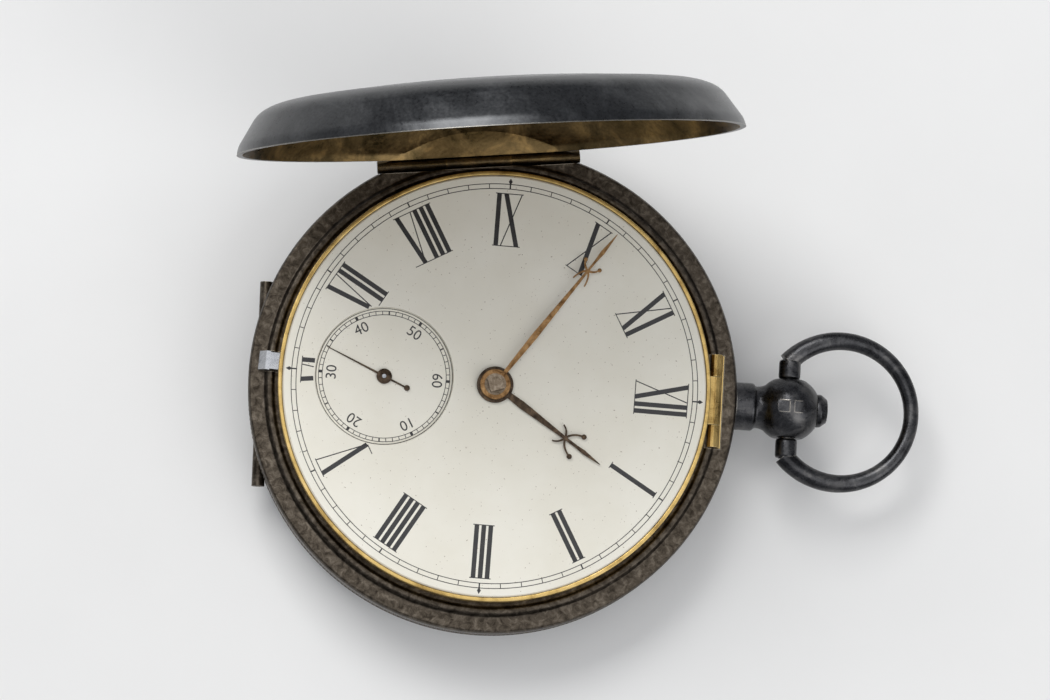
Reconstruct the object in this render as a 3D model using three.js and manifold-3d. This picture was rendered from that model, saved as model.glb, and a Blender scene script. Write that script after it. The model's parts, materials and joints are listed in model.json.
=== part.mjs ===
// English silver full-hunter pocket watch with a key-wound fusee lever movement. It lies on
// its back with the front cover standing open.
// Millimetres. +X points from the centre to the pendant, +Y to the front cover's hinge,
// +Z out of the dial. The origin is the centre of the back cover's flat outer face.

import * as THREE from 'three';
import { mergeVertices } from 'three/addons/utils/BufferGeometryUtils.js';
import Module from 'manifold-3d';

const wasm = await Module();
wasm.setup();

// ---- Driving dimensions ------------------------------------------------------------------

// Case middle: the reeded band, the flat ring the covers close on and the raised snap ridge.
const BAND_RADIUS = 25.05;
const BAND_BOTTOM_Z = 4.6;
const RING_TOP_Z = 9.9;
const RIDGE_TOP_Z = 10.4;
const BORE_RADIUS = 22.3;
const LEDGE_RADIUS = 21.7;
const LEDGE_TOP_Z = 10.1;
const ROUND = 40;

// Inner dome: the fixed double bottom with the winding hole.
const DOME_Z = 1.9;
const DOME_THICK = 0.4;
const WINDING_HOLE_RADIUS = 1.6;

// Covers: outer radius against height above the rim, and wall thickness.
const COVER_WALL = 0.55;
const LID_RIM_Z = 9.95;
const LID_PROFILE = [
  [24.95, 0], [24.75, 0.8], [22.7, 3.9], [20.9, 4.7], [12.9, 5.5], [0, 5.95],
];
const LID_OPEN_DEG = 84.5;
const BACK_RIM_Z = 4.55;
const BACK_PROFILE = [
  [24.9, 0], [24.6, 1.2], [22.6, 3.3], [19.5, 4.2], [15, BACK_RIM_Z], [0, BACK_RIM_Z],
];

// Straight three-knuckle hinges: direction from the centre, distance, height and sizes.
const FRONT_HINGE = { angle: 96.9, distance: 23.5, z: 9.35, half: 10.45, middle: 3.35 };
const BACK_HINGE = { angle: 181.1, distance: 23.6, z: BAND_BOTTOM_Z, half: 10.6, middle: 3.35 };
const KNUCKLE_RADIUS = 0.66;
const PIN_RADIUS = 0.26;
const PIN_BORE_RADIUS = 0.28;
const HINGE_GAP = 0.05;
const KNUCKLE_SIDES = 12;

// Pendant, push-piece and bow.
const STEM_Z = 7.25;
const BALL_X = 30.6;
const BALL_RADIUS = 3.4;
const BALL_END_X = 33.6;
const BALL_FLAT_Y = 3.0;
const STEM_BORE_RADIUS = 0.95;
const CAP_RADIUS = 1.7;
const CAP_PROUD = 1.0;
const PUSH_TRAVEL = 0.7;
const BOW_CENTRE_X = 36.0;
const BOW_RADIUS = 7.4;
const BOW_WIRE_RADIUS = 0.92;
const BOW_PIVOT_RADIUS = 0.8;

// Movement joint at XII and bolt near VI.
const JOINT_X = 22.7;
const JOINT_Z = 10.6;
const JOINT_RADIUS = 0.62;
const JOINT_HALF = 4.75;
const JOINT_LEAF_HALF = 2.45;
const BOLT_ANGLE = 176.8;
const BOLT_HALF_WIDTH = 0.95;

// Plates, pillars and dial.
const TOP_PLATE_Z = [5.0, 5.8];
const PILLAR_PLATE_Z = [LEDGE_TOP_Z, 11.0];
const TOP_PLATE_RADIUS = 20.6;
const PILLAR_PLATE_RADIUS = 22.0;
const PILLAR_CIRCLE = 18.6;
const PILLAR_ANGLES = [42, 135, -137, -18];
const DIAL_Z = [12.4, 12.9];
const DIAL_RADIUS = 21.57;
const DIAL_TWIST = -1.2;
const SECONDS_OFFSET = 11.28;
const SECONDS_RECESS_RADIUS = 7.05;
const SECONDS_DIAL_Z = [12.2, 12.45];
const BRASS_EDGE_RADII = [21.6, 22.03];

// Going train: teeth and modules. Levels are heights above the top plate's inner face.
const CENTRE = { teeth: 64, pinion: 12, module: 0.2, level: [3.75, 4.0] };
const THIRD = { teeth: 60, pinion: 8, module: 0.17, level: [1.9, 2.15] };
const FOURTH = { teeth: 63, pinion: 8, module: 0.14, level: [0.95, 1.2] };
const ESCAPE = { teeth: 15, pinion: 7, radius: 2.75, level: [0.3, 0.55] };
const GREAT = { teeth: 72, module: 0.19, level: [3.0, 3.4], direction: 50 };
const BORE_SPREAD = 1.04;
const TOOTH_TIP = 0.75;
const TOOTH_ROOT = 1.15;
const PIVOT_RADIUS = 0.22;
const PIVOT_HOLE_RADIUS = 0.26;

// Motion work under the dial.
const CANNON = { teeth: 12, module: 0.2, z: [11.1, 11.45] };
const MINUTE_WHEEL = { teeth: 36, pinion: 10, z: [11.12, 11.4], direction: 60 };
const HOUR_WHEEL = { teeth: 40, z: [11.75, 12.0] };
const CANNON_PIPE_RADIUS = 1.1;
const HOUR_PIPE_RADII = [1.14, 1.5];

// Hands: direction at rest, from +X, and level.
const HOUR_HAND = { angle: -34.2, length: 13.4, z: [13.2, 13.35] };
const MINUTE_HAND = { angle: 54.4, length: 19.85, z: [13.6, 13.75] };
const SECONDS_HAND = { angle: 156.2, length: 6.6, tail: 2.6, z: [12.58, 12.7] };
const SETTING_SQUARE = { width: 1.39, angle: 19, top: 14.65 };

// Barrel, fusee and chain.
const BARREL_AT = [6.5, -10.5];
const BARREL = { radius: 6.9, level: [0.35, 3.4], wall: 0.35 };
const FUSEE_STEPS = [[6.0, 2.9], [5.4, 2.35], [4.7, 1.8], [4.0, 1.25]];
const FUSEE_PITCH = 0.55;
const FUSEE_FOOT_LEVEL = 0.25;
const CHAIN = { level: [1.6, 2.0], thick: 0.3, clear: 0.06 };

// Balance: wheel under the cock, outside the top plate.
const LEVER_PIVOT_AT = [-7.39, -6.65];
const BALANCE_AT = [-3.62, -9.29];
const BALANCE = { radius: 6.9, rim: 0.7, z: [3.6, 4.15] };
const HAIRSPRING = { z: [4.4, 4.7], inner: 0.75, outer: 3.1, turns: 4, thick: 0.12 };
const COCK_Z = [2.7, 3.25];
const COCK_FOOT_RADII = [17.25, 19.3];

// ---- Finishes ----------------------------------------------------------------------------

const FINISH = {
  silver: { color: 0x4b4843, roughness: 0.45, metalness: 0.9 },
  gilt: { color: 0xa8843c, roughness: 0.35, metalness: 0.95 },
  brass: { color: 0xb08a45, roughness: 0.4, metalness: 0.9 },
  steel: { color: 0x8b9096, roughness: 0.35, metalness: 0.95 },
  blued: { color: 0x27324a, roughness: 0.3, metalness: 0.9 },
  enamel: { color: 0xece7d6, roughness: 0.25, metalness: 0.0 },
  bronze: { color: 0x7b5226, roughness: 0.45, metalness: 0.85 },
  darkSteel: { color: 0x3a2a20, roughness: 0.5, metalness: 0.8 },
};

// ---- Solids ------------------------------------------------------------------------------

const degrees = THREE.MathUtils.degToRad;

function solidOf(geometry) {
  geometry.deleteAttribute('normal');
  geometry.deleteAttribute('uv');
  const merged = mergeVertices(geometry, 1e-5);
  const points = merged.attributes.position.array;
  const corners = merged.index.array;
  const kept = [];
  let volume = 0;
  for (let i = 0; i < corners.length; i += 3) {
    const [a, b, c] = [corners[i], corners[i + 1], corners[i + 2]];
    if (a === b || b === c || c === a) continue;
    kept.push(a, b, c);
    const pa = new THREE.Vector3().fromArray(points, a * 3);
    const pb = new THREE.Vector3().fromArray(points, b * 3);
    const pc = new THREE.Vector3().fromArray(points, c * 3);
    volume += pa.dot(pb.cross(pc));
  }
  if (volume < 0) {
    for (let i = 0; i < kept.length; i += 3) [kept[i], kept[i + 1]] = [kept[i + 1], kept[i]];
  }
  return new wasm.Manifold(new wasm.Mesh({
    numProp: 3,
    vertProperties: Float32Array.from(points),
    triVerts: Uint32Array.from(kept),
  }));
}

function geometryOf(solid) {
  const mesh = solid.getMesh();
  const geometry = new THREE.BufferGeometry();
  const positions = Float32Array.from(mesh.vertProperties);
  geometry.setAttribute('position', new THREE.BufferAttribute(positions, 3));
  geometry.setIndex(new THREE.BufferAttribute(Uint32Array.from(mesh.triVerts), 1));
  geometry.computeVertexNormals();
  return geometry;
}

function joined(...solids) {
  return solids.reduce((whole, piece) => whole.add(piece));
}

function cut(solid, ...tools) {
  return tools.reduce((left, tool) => left.subtract(tool), solid);
}

// A closed profile of [radius, height] pairs turned about a vertical axis at x, y.
function turnedGeometry(profile, segments = ROUND) {
  const points = [...profile, profile[0]].map(([radius, height]) => new THREE.Vector2(radius, height));
  return new THREE.LatheGeometry(points, segments).rotateX(Math.PI / 2);
}

function turned(profile, segments = ROUND, [x, y] = [0, 0]) {
  return solidOf(turnedGeometry(profile, segments).translate(x, y, 0));
}

function disc(radius, [z0, z1], segments = ROUND, at = [0, 0]) {
  return turned([[0, z0], [radius, z0], [radius, z1], [0, z1]], segments, at);
}

function ring(inner, outer, [z0, z1], segments = ROUND, at = [0, 0]) {
  return turned([[inner, z0], [outer, z0], [outer, z1], [inner, z1]], segments, at);
}

function block([x0, x1], [y0, y1], [z0, z1], matrix = new THREE.Matrix4()) {
  const box = new THREE.BoxGeometry(x1 - x0, y1 - y0, z1 - z0);
  box.translate((x0 + x1) / 2, (y0 + y1) / 2, (z0 + z1) / 2);
  return solidOf(box.applyMatrix4(matrix));
}

// A turned profile laid along +X: the profile's heights become x.
function turnedAlongX(profile, segments, y = 0, z = 0) {
  return solidOf(turnedGeometry(profile, segments).rotateY(Math.PI / 2).translate(0, y, z));
}

// A round bar along local y from y0 to y1, at local x and z, moved by a matrix.
function crossBar(radius, [y0, y1], [x, z], segments = KNUCKLE_SIDES, matrix = new THREE.Matrix4()) {
  const profile = [[0, y0], [radius, y0], [radius, y1], [0, y1]];
  const geometry = turnedGeometry(profile, segments).rotateX(-Math.PI / 2).translate(x, 0, z);
  return solidOf(geometry.applyMatrix4(matrix));
}

function slab(shape, [z0, z1], matrix = new THREE.Matrix4()) {
  const settings = { depth: z1 - z0, bevelEnabled: false, curveSegments: 12 };
  const geometry = new THREE.ExtrudeGeometry(shape, settings);
  return solidOf(geometry.applyMatrix4(matrix).translate(0, 0, z0));
}

function shapeOf(points) {
  return new THREE.Shape(points.map(([x, y]) => new THREE.Vector2(x, y)));
}

function turn(angle, [x, y] = [0, 0]) {
  const rotation = new THREE.Matrix4().makeRotationZ(degrees(angle));
  return new THREE.Matrix4().makeTranslation(x, y, 0).multiply(rotation);
}

function polar(radius, angle) {
  return [radius * Math.cos(degrees(angle)), radius * Math.sin(degrees(angle))];
}

// The outline of a strip of even width that follows a line of points.
function stripShape(line, width) {
  const left = [];
  const right = [];
  line.forEach(([x, y], i) => {
    const before = line[Math.max(i - 1, 0)];
    const after = line[Math.min(i + 1, line.length - 1)];
    const run = Math.hypot(after[0] - before[0], after[1] - before[1]);
    const across = [-(after[1] - before[1]) / run, (after[0] - before[0]) / run];
    left.push([x + across[0] * width / 2, y + across[1] * width / 2]);
    right.unshift([x - across[0] * width / 2, y - across[1] * width / 2]);
  });
  return shapeOf([...left, ...right]);
}

function arcLine(radius, startAngle, endAngle, steps, [x, y] = [0, 0]) {
  return Array.from({ length: steps + 1 }, (_, i) => {
    const [dx, dy] = polar(radius, startAngle + (endAngle - startAngle) * i / steps);
    return [x + dx, y + dy];
  });
}

function spiralLine(inner, outer, turns, stepsPerTurn, [x, y], startAngle = 0) {
  const steps = turns * stepsPerTurn;
  return Array.from({ length: steps + 1 }, (_, i) => {
    const [dx, dy] = polar(inner + (outer - inner) * i / steps, startAngle + 360 * i / stepsPerTurn);
    return [x + dx, y + dy];
  });
}

// ---- Wheels ------------------------------------------------------------------------------

// Pointed teeth: a root point and a tip point each. A lean makes them saw teeth.
function toothedOutline(teeth, tipRadius, rootRadius, lean = 0) {
  const pitch = 360 / teeth;
  const points = [];
  for (let i = 0; i < teeth; i += 1) {
    points.push(polar(rootRadius, (i - 0.5) * pitch));
    points.push(polar(tipRadius, (i + lean) * pitch));
  }
  return shapeOf(points);
}

function gearShape(teeth, module) {
  const pitchRadius = teeth * module / 2;
  return toothedOutline(teeth, pitchRadius + TOOTH_TIP * module, pitchRadius - TOOTH_ROOT * module);
}

function pathOf(points) {
  return new THREE.Path(points.map(([x, y]) => new THREE.Vector2(x, y)));
}

// A twelve-sided bore whose flats just clear a round shaft.
function boreHole(shaftRadius) {
  return pathOf(arcLine(shaftRadius * BORE_SPREAD, 0, 330, 11));
}

// Cuts a bore and the windows between the spokes out of a wheel's outline.
function withSpokes(shape, boreRadius, hubRadius, rimRadius, spokes = 4, spokeWidth = 0.55) {
  shape.holes.push(boreHole(boreRadius));
  for (let i = 0; i < spokes; i += 1) {
    const start = 360 * i / spokes;
    const end = start + 360 / spokes;
    const outerGap = THREE.MathUtils.radToDeg(Math.asin(spokeWidth / 2 / rimRadius));
    const innerGap = THREE.MathUtils.radToDeg(Math.asin(spokeWidth / 2 / hubRadius));
    const outer = arcLine(rimRadius, start + outerGap, end - outerGap, 4);
    const inner = arcLine(hubRadius, end - innerGap, start + innerGap, 2);
    shape.holes.push(pathOf([...outer, ...inner]));
  }
  return shape;
}

function between(a, b) {
  return THREE.MathUtils.radToDeg(Math.atan2(b[1] - a[1], b[0] - a[0]));
}

function plus([x, y], [dx, dy]) {
  return [x + dx, y + dy];
}

// The point at one distance from a and another from b, on the left of the line from a to b.
function meetingPoint(a, fromA, b, fromB) {
  const apart = Math.hypot(b[0] - a[0], b[1] - a[1]);
  const along = (fromA ** 2 - fromB ** 2 + apart ** 2) / (2 * apart);
  const aside = Math.sqrt(fromA ** 2 - along ** 2);
  const [ux, uy] = [(b[0] - a[0]) / apart, (b[1] - a[1]) / apart];
  return [a[0] + along * ux - aside * uy, a[1] + along * uy + aside * ux];
}

// The rest angle of a gear that puts one of its gaps on the partner's tooth.
function meshAngle(partnerTeeth, partnerAngle, teeth, direction) {
  return direction + 180 - (180 - partnerTeeth * (direction - partnerAngle)) / teeth;
}

function atLevel([low, high]) {
  return [TOP_PLATE_Z[1] + low, TOP_PLATE_Z[1] + high];
}

// ---- Train layout ------------------------------------------------------------------------

const CENTRE_AT = [0, 0];
const FOURTH_AT = polar(SECONDS_OFFSET, 180 + DIAL_TWIST);
const THIRD_AT = meetingPoint(
  FOURTH_AT, THIRD.module * (THIRD.teeth + FOURTH.pinion) / 2,
  CENTRE_AT, CENTRE.module * (CENTRE.teeth + THIRD.pinion) / 2,
);
const LEVER_REACH = 3.35;
const ESCAPE_AT = meetingPoint(
  LEVER_PIVOT_AT, LEVER_REACH,
  FOURTH_AT, FOURTH.module * (FOURTH.teeth + ESCAPE.pinion) / 2,
);
const FUSEE_AT = polar(GREAT.module * (GREAT.teeth + CENTRE.pinion) / 2, GREAT.direction);
const MOTION_DISTANCE = CANNON.module * (CANNON.teeth + MINUTE_WHEEL.teeth) / 2;
const MINUTE_WHEEL_AT = polar(MOTION_DISTANCE, MINUTE_WHEEL.direction);

const THIRD_PINION_ANGLE = meshAngle(CENTRE.teeth, 0, THIRD.pinion, between(CENTRE_AT, THIRD_AT));
const FOURTH_PINION_ANGLE = meshAngle(THIRD.teeth, 0, FOURTH.pinion, between(THIRD_AT, FOURTH_AT));
const ESCAPE_PINION_ANGLE = meshAngle(FOURTH.teeth, 0, ESCAPE.pinion, between(FOURTH_AT, ESCAPE_AT));
const CENTRE_PINION_ANGLE = meshAngle(GREAT.teeth, 0, CENTRE.pinion, between(FUSEE_AT, CENTRE_AT));
const MINUTE_WHEEL_ANGLE = meshAngle(CANNON.teeth, 0, MINUTE_WHEEL.teeth, MINUTE_WHEEL.direction);
const MINUTE_PINION_MODULE = 2 * MOTION_DISTANCE / (MINUTE_WHEEL.pinion + HOUR_WHEEL.teeth);
const HOUR_WHEEL_ANGLE = meshAngle(
  MINUTE_WHEEL.pinion, 0, HOUR_WHEEL.teeth, between(MINUTE_WHEEL_AT, CENTRE_AT),
);

// ---- The assembly ------------------------------------------------------------------------

const watch = new THREE.Group();
watch.name = 'pocket_watch';

function put(name, solid, finish, matrix = null) {
  const geometry = geometryOf(solid);
  if (matrix) geometry.applyMatrix4(matrix);
  const mesh = new THREE.Mesh(geometry, new THREE.MeshStandardMaterial(FINISH[finish]));
  mesh.name = name;
  watch.add(mesh);
}

// ---- Hinges ------------------------------------------------------------------------------

function hingeBar(hinge, radius, span, sides = KNUCKLE_SIDES) {
  return crossBar(radius, span, [hinge.distance, hinge.z], sides, turn(hinge.angle));
}

function hingeBore(hinge) {
  return hingeBar(hinge, PIN_BORE_RADIUS, [-hinge.half - 1, hinge.half + 1], 8);
}

// The fixed middle knuckle, on a foot that stands on the floor of the case's notch.
function caseKnuckle(hinge, footZ) {
  const span = [-hinge.middle + HINGE_GAP, hinge.middle - HINGE_GAP];
  const foot = block(
    [hinge.distance - 0.4, hinge.distance + 0.4], span,
    [Math.min(footZ, hinge.z), Math.max(footZ, hinge.z)], turn(hinge.angle),
  );
  return cut(joined(hingeBar(hinge, KNUCKLE_RADIUS, span), foot), hingeBore(hinge));
}

function coverKnuckle(hinge, side) {
  const span = side > 0 ? [hinge.middle, hinge.half] : [-hinge.half, -hinge.middle];
  return cut(hingeBar(hinge, KNUCKLE_RADIUS, span), hingeBore(hinge));
}

const NOTCH_CLEAR = 0.08;

function hingeNotch(hinge, [z0, z1]) {
  const inner = hinge.distance - KNUCKLE_RADIUS - NOTCH_CLEAR;
  return block([inner, inner + 6], [-hinge.half - 0.1, hinge.half + 0.1], [z0, z1], turn(hinge.angle));
}

const FRONT_NOTCH_Z = FRONT_HINGE.z - KNUCKLE_RADIUS - NOTCH_CLEAR;
const BACK_NOTCH_Z = BACK_HINGE.z + KNUCKLE_RADIUS + NOTCH_CLEAR;

// ---- Case middle and inner dome ----------------------------------------------------------

const JOINT_NOTCH_Z = 9.3;
const PUNCH_SIZE = 1.2;

const bandProfile = [
  [22.9, BAND_BOTTOM_Z + 0.3], [22.9, BAND_BOTTOM_Z], [24.7, BAND_BOTTOM_Z],
  [BAND_RADIUS, BAND_BOTTOM_Z + 0.4], [BAND_RADIUS, RING_TOP_Z - 0.4],
  [24.85, RING_TOP_Z], [23.4, RING_TOP_Z - 0.1],
  [23.1, RIDGE_TOP_Z], [22.6, RIDGE_TOP_Z], [22.4, LEDGE_TOP_Z],
  [LEDGE_RADIUS, LEDGE_TOP_Z], [LEDGE_RADIUS, LEDGE_TOP_Z - 0.5], [BORE_RADIUS, LEDGE_TOP_Z - 0.8],
  [BORE_RADIUS, BAND_BOTTOM_Z + 0.3],
];
const jointNotchSpan = [-JOINT_HALF - NOTCH_CLEAR, JOINT_HALF + NOTCH_CLEAR];
const jointNotch = joined(
  block([22.28, 23.55], jointNotchSpan, [JOINT_NOTCH_Z, 12]),
  block([21.9, 23.55], jointNotchSpan, [LEDGE_TOP_Z, 12]),
);
const boltNotch = block(
  [22.05, 23.5], [-BOLT_HALF_WIDTH - 0.1, BOLT_HALF_WIDTH + 0.1], [RING_TOP_Z - 0.02, 12],
  turn(BOLT_ANGLE),
);
const stemHoleProfile = [[0, 20], [STEM_BORE_RADIUS, 20], [STEM_BORE_RADIUS, 27], [0, 27]];
const stemHole = turnedAlongX(stemHoleProfile, 16, 0, STEM_Z);
const hingeNotches = [
  hingeNotch(FRONT_HINGE, [FRONT_NOTCH_Z, 14]), hingeNotch(BACK_HINGE, [3, BACK_NOTCH_Z]),
];
const caseMiddle = cut(turned(bandProfile), ...hingeNotches, jointNotch, boltNotch, stemHole);
put('case_middle', caseMiddle, 'silver');

const domeProfile = [
  [0, DOME_Z], [19.5, DOME_Z], [21.6, 2.5], [22.88, 4.5], [22.88, BAND_BOTTOM_Z + 0.3],
  [22.45, BAND_BOTTOM_Z + 0.3], [22.45, 4.5], [21.3, 2.85],
  [19.4, DOME_Z + DOME_THICK], [0, DOME_Z + DOME_THICK],
];
put('inner_dome', cut(turned(domeProfile), disc(WINDING_HOLE_RADIUS, [0, 4], 20, FUSEE_AT)), 'silver');

put('front_hinge_knuckle', caseKnuckle(FRONT_HINGE, FRONT_NOTCH_Z), 'silver');
put('front_hinge_pin', hingeBar(FRONT_HINGE, PIN_RADIUS, [-FRONT_HINGE.half, FRONT_HINGE.half], 8), 'steel');
put('back_hinge_knuckle', caseKnuckle(BACK_HINGE, BACK_NOTCH_Z), 'silver');
put('back_hinge_pin', hingeBar(BACK_HINGE, PIN_RADIUS, [-BACK_HINGE.half, BACK_HINGE.half], 8), 'steel');

// ---- Covers ------------------------------------------------------------------------------

function insetProfile(profile, wall) {
  return profile.map(([radius, height], i) => {
    if (radius === 0) return [0, height - wall];
    const before = profile[Math.max(i - 1, 0)];
    const after = profile[Math.min(i + 1, profile.length - 1)];
    const [dr, dh] = [after[0] - before[0], after[1] - before[1]];
    const run = Math.hypot(dr, dh);
    return [radius - wall * dh / run, height + wall * dr / run];
  });
}

// A dished cover: its rim is at rimZ and it bulges up (side 1) or down (side -1). A flat wall
// stands where the hinge crosses the round.
function coverShell(profile, rimZ, side, hinge) {
  const place = ([radius, height]) => [radius, rimZ + side * height];
  const inset = insetProfile(profile, COVER_WALL);
  const outer = turned([...profile.map(place), [0, rimZ]]);
  const inner = turned([[inset[0][0], rimZ - side], ...inset.map(place), [0, rimZ - side]]);
  const within = (reach) => block([-30, reach], [-30, 30], [-5, 20], turn(hinge.angle));
  const hollow = inner.intersect(within(hinge.distance - COVER_WALL));
  const shell = cut(outer.intersect(within(hinge.distance)), hollow);
  const middleSpace = hingeBar(hinge, KNUCKLE_RADIUS + NOTCH_CLEAR, [-hinge.middle, hinge.middle]);
  return cut(shell, middleSpace, hingeBar(hinge, KNUCKLE_RADIUS, [-hinge.half, hinge.half]));
}

function hingeTurn(hinge, angle) {
  const toAxis = new THREE.Matrix4().makeTranslation(hinge.distance, 0, hinge.z);
  const swing = new THREE.Matrix4().makeRotationY(degrees(angle));
  const back = toAxis.clone().invert();
  const frame = turn(hinge.angle);
  return frame.clone().multiply(toAxis).multiply(swing).multiply(back).multiply(frame.clone().invert());
}

const lidOpen = hingeTurn(FRONT_HINGE, LID_OPEN_DEG);
const lidKnuckles = [1, -1].map((side) => coverKnuckle(FRONT_HINGE, side));
put('front_cover', coverShell(LID_PROFILE, LID_RIM_Z, 1, FRONT_HINGE), 'silver', lidOpen);
put('front_cover_knuckle_a', lidKnuckles[0], 'silver', lidOpen);
put('front_cover_knuckle_b', lidKnuckles[1], 'silver', lidOpen);

const backKnuckles = [1, -1].map((side) => coverKnuckle(BACK_HINGE, side));
put('back_cover', coverShell(BACK_PROFILE, BACK_RIM_Z, -1, BACK_HINGE), 'silver');
put('back_cover_knuckle_a', backKnuckles[0], 'silver');
put('back_cover_knuckle_b', backKnuckles[1], 'silver');

// ---- Pendant, push-piece and bow ---------------------------------------------------------

function ballProfile(startX, endX, steps) {
  return Array.from({ length: steps + 1 }, (_, i) => {
    const x = startX + (endX - startX) * i / steps;
    return [Math.sqrt(BALL_RADIUS ** 2 - (x - BALL_X) ** 2), x];
  });
}

const CAP_SEAT_X = BALL_END_X - 0.9;
const pendantProfile = [
  [STEM_BORE_RADIUS, 24], [2.45, 24], [2.45, 26.9], [2.15, 27.15], [2.15, 27.6],
  ...ballProfile(28.15, BALL_END_X, 7),
  [CAP_RADIUS + 0.06, BALL_END_X], [CAP_RADIUS + 0.06, CAP_SEAT_X], [STEM_BORE_RADIUS, CAP_SEAT_X],
];
const bandOutside = turned([
  [0, BAND_BOTTOM_Z - 2], [BAND_RADIUS, BAND_BOTTOM_Z - 2],
  [BAND_RADIUS, RING_TOP_Z + 2], [0, RING_TOP_Z + 2],
]);
const flats = [1, -1].map((side) => block(
  [BALL_X - 5, BALL_X + 5], side > 0 ? [BALL_FLAT_Y, 6] : [-6, -BALL_FLAT_Y], [STEM_Z - 5, STEM_Z + 5],
));
const bowHole = crossBar(BOW_PIVOT_RADIUS + 0.06, [-6, 6], [BALL_X, STEM_Z], 12);
const bowHoles = cut(bowHole, block([BALL_X - 2, BALL_X + 2], [-2.1, 2.1], [STEM_Z - 2, STEM_Z + 2]));
const punches = [-0.75, 0.95].map((x) => block(
  [BALL_X + x - PUNCH_SIZE / 2, BALL_X + x + PUNCH_SIZE / 2], [-PUNCH_SIZE / 2, PUNCH_SIZE / 2],
  [STEM_Z + BALL_RADIUS - 0.3, STEM_Z + BALL_RADIUS + 1],
));
const pendant = cut(turnedAlongX(pendantProfile, 24, 0, STEM_Z), bandOutside, ...flats, bowHoles, ...punches);
put('pendant', pendant, 'silver');

const SPRING_Z = [6.2, 8.1];
const SPRING_RADIUS = 21.75;
const SPRING_THICK = 0.32;
const pushProfile = [
  [0, 22.05], [STEM_BORE_RADIUS - 0.15, 22.05], [STEM_BORE_RADIUS - 0.15, CAP_SEAT_X + PUSH_TRAVEL + 0.05],
  [CAP_RADIUS, CAP_SEAT_X + PUSH_TRAVEL + 0.05], [CAP_RADIUS, BALL_END_X + 0.35],
  [CAP_RADIUS - 0.5, BALL_END_X + CAP_PROUD], [0, BALL_END_X + CAP_PROUD + 0.1],
];
put('push_piece', turnedAlongX(pushProfile, 16, 0, STEM_Z), 'silver');

const BOW_END_DEG = 139;

class BowCurve extends THREE.Curve {
  getPoint(t, target = new THREE.Vector3()) {
    const [x, y] = polar(BOW_RADIUS, BOW_END_DEG - 2 * BOW_END_DEG * t);
    return target.set(BOW_CENTRE_X + x, y, STEM_Z);
  }
}

const bowSection = shapeOf(arcLine(BOW_WIRE_RADIUS, 0, 315, 7));
const bowWire = solidOf(new THREE.ExtrudeGeometry(bowSection, {
  extrudePath: new BowCurve(), steps: 28, bevelEnabled: false,
}));
const bowEnds = [1, -1].map((side) => crossBar(
  BOW_PIVOT_RADIUS, side > 0 ? [2.2, 5.0] : [-5.0, -2.2], [BALL_X, STEM_Z], 12,
));
put('bow', joined(bowWire, ...bowEnds), 'silver');

// ---- Case springs in the gap around the movement -----------------------------------------

function caseSpring(start, end, padEnd) {
  const strip = slab(stripShape(arcLine(SPRING_RADIUS, start, end, 14), SPRING_THICK), SPRING_Z);
  const pad = slab(stripShape(arcLine(SPRING_RADIUS + 0.12, padEnd, end, 3), 0.72), SPRING_Z);
  return joined(strip, pad);
}

put('lock_spring', caseSpring(-1.6, 48, 40), 'steel');
put('fly_spring', caseSpring(60, 118, 110), 'steel');

// ---- Plates, pillars and the movement's joint --------------------------------------------

const pillarPoints = PILLAR_ANGLES.map((angle) => polar(PILLAR_CIRCLE, angle));
const SPIGOT_RADIUS = 0.7;
const ARBOR_RADIUS = 0.4;
const CENTRE_ARBOR_RADIUS = 0.5;
const BARREL_ARBOR_RADIUS = 1.0;
const FUSEE_ARBOR_RADIUS = 0.9;
const RUNNING = 0.05;

function drilled(radius, at, sides = 8) {
  return disc(radius, [0, 20], sides, at);
}

const smallPivotPoints = [THIRD_AT, FOURTH_AT, ESCAPE_AT, LEVER_PIVOT_AT];
const smallPivots = smallPivotPoints.map((at) => drilled(PIVOT_HOLE_RADIUS, at));
const pillarPlate = cut(
  disc(PILLAR_PLATE_RADIUS, PILLAR_PLATE_Z), ...smallPivots,
  drilled(CENTRE_ARBOR_RADIUS + RUNNING, CENTRE_AT, 16), drilled(FUSEE_ARBOR_RADIUS - 0.35, FUSEE_AT, 16),
  drilled(BARREL_ARBOR_RADIUS + RUNNING, BARREL_AT, 20),
);
put('pillar_plate', pillarPlate, 'brass');

const BRIDGE = { angle: between([0, 0], BARREL_AT), slot: [7.6, 17.1], half: 1.7, ears: 1.0, earZ: 4.6 };
const barMatrix = turn(BRIDGE.angle);
const bridgeSlot = block(
  [BRIDGE.slot[0], BRIDGE.slot[1]], [-BRIDGE.half, BRIDGE.half], [0, 20], barMatrix,
);
const topPlate = cut(
  disc(TOP_PLATE_RADIUS, TOP_PLATE_Z), ...smallPivots, bridgeSlot,
  ...pillarPoints.map((at) => drilled(SPIGOT_RADIUS, at, 10)),
  drilled(CENTRE_ARBOR_RADIUS - 0.15, CENTRE_AT, 16), drilled(FUSEE_ARBOR_RADIUS + RUNNING, FUSEE_AT, 20),
  drilled(0.6, BALANCE_AT, 16),
);
put('top_plate', topPlate, 'gilt');

const bridgeInsert = block(
  [BRIDGE.slot[0] + 0.03, BRIDGE.slot[1] - 0.03], [-BRIDGE.half + 0.03, BRIDGE.half - 0.03],
  [BRIDGE.earZ, TOP_PLATE_Z[1]], barMatrix,
);
const bridgeBar = block(
  [BRIDGE.slot[0] - BRIDGE.ears, BRIDGE.slot[1] + BRIDGE.ears], [-BRIDGE.half, BRIDGE.half],
  [BRIDGE.earZ, TOP_PLATE_Z[0]], barMatrix,
);
const bridgeBore = drilled(BARREL_ARBOR_RADIUS - 0.25, BARREL_AT, 20);
put('barrel_bridge', cut(joined(bridgeInsert, bridgeBar), bridgeBore), 'gilt');

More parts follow.
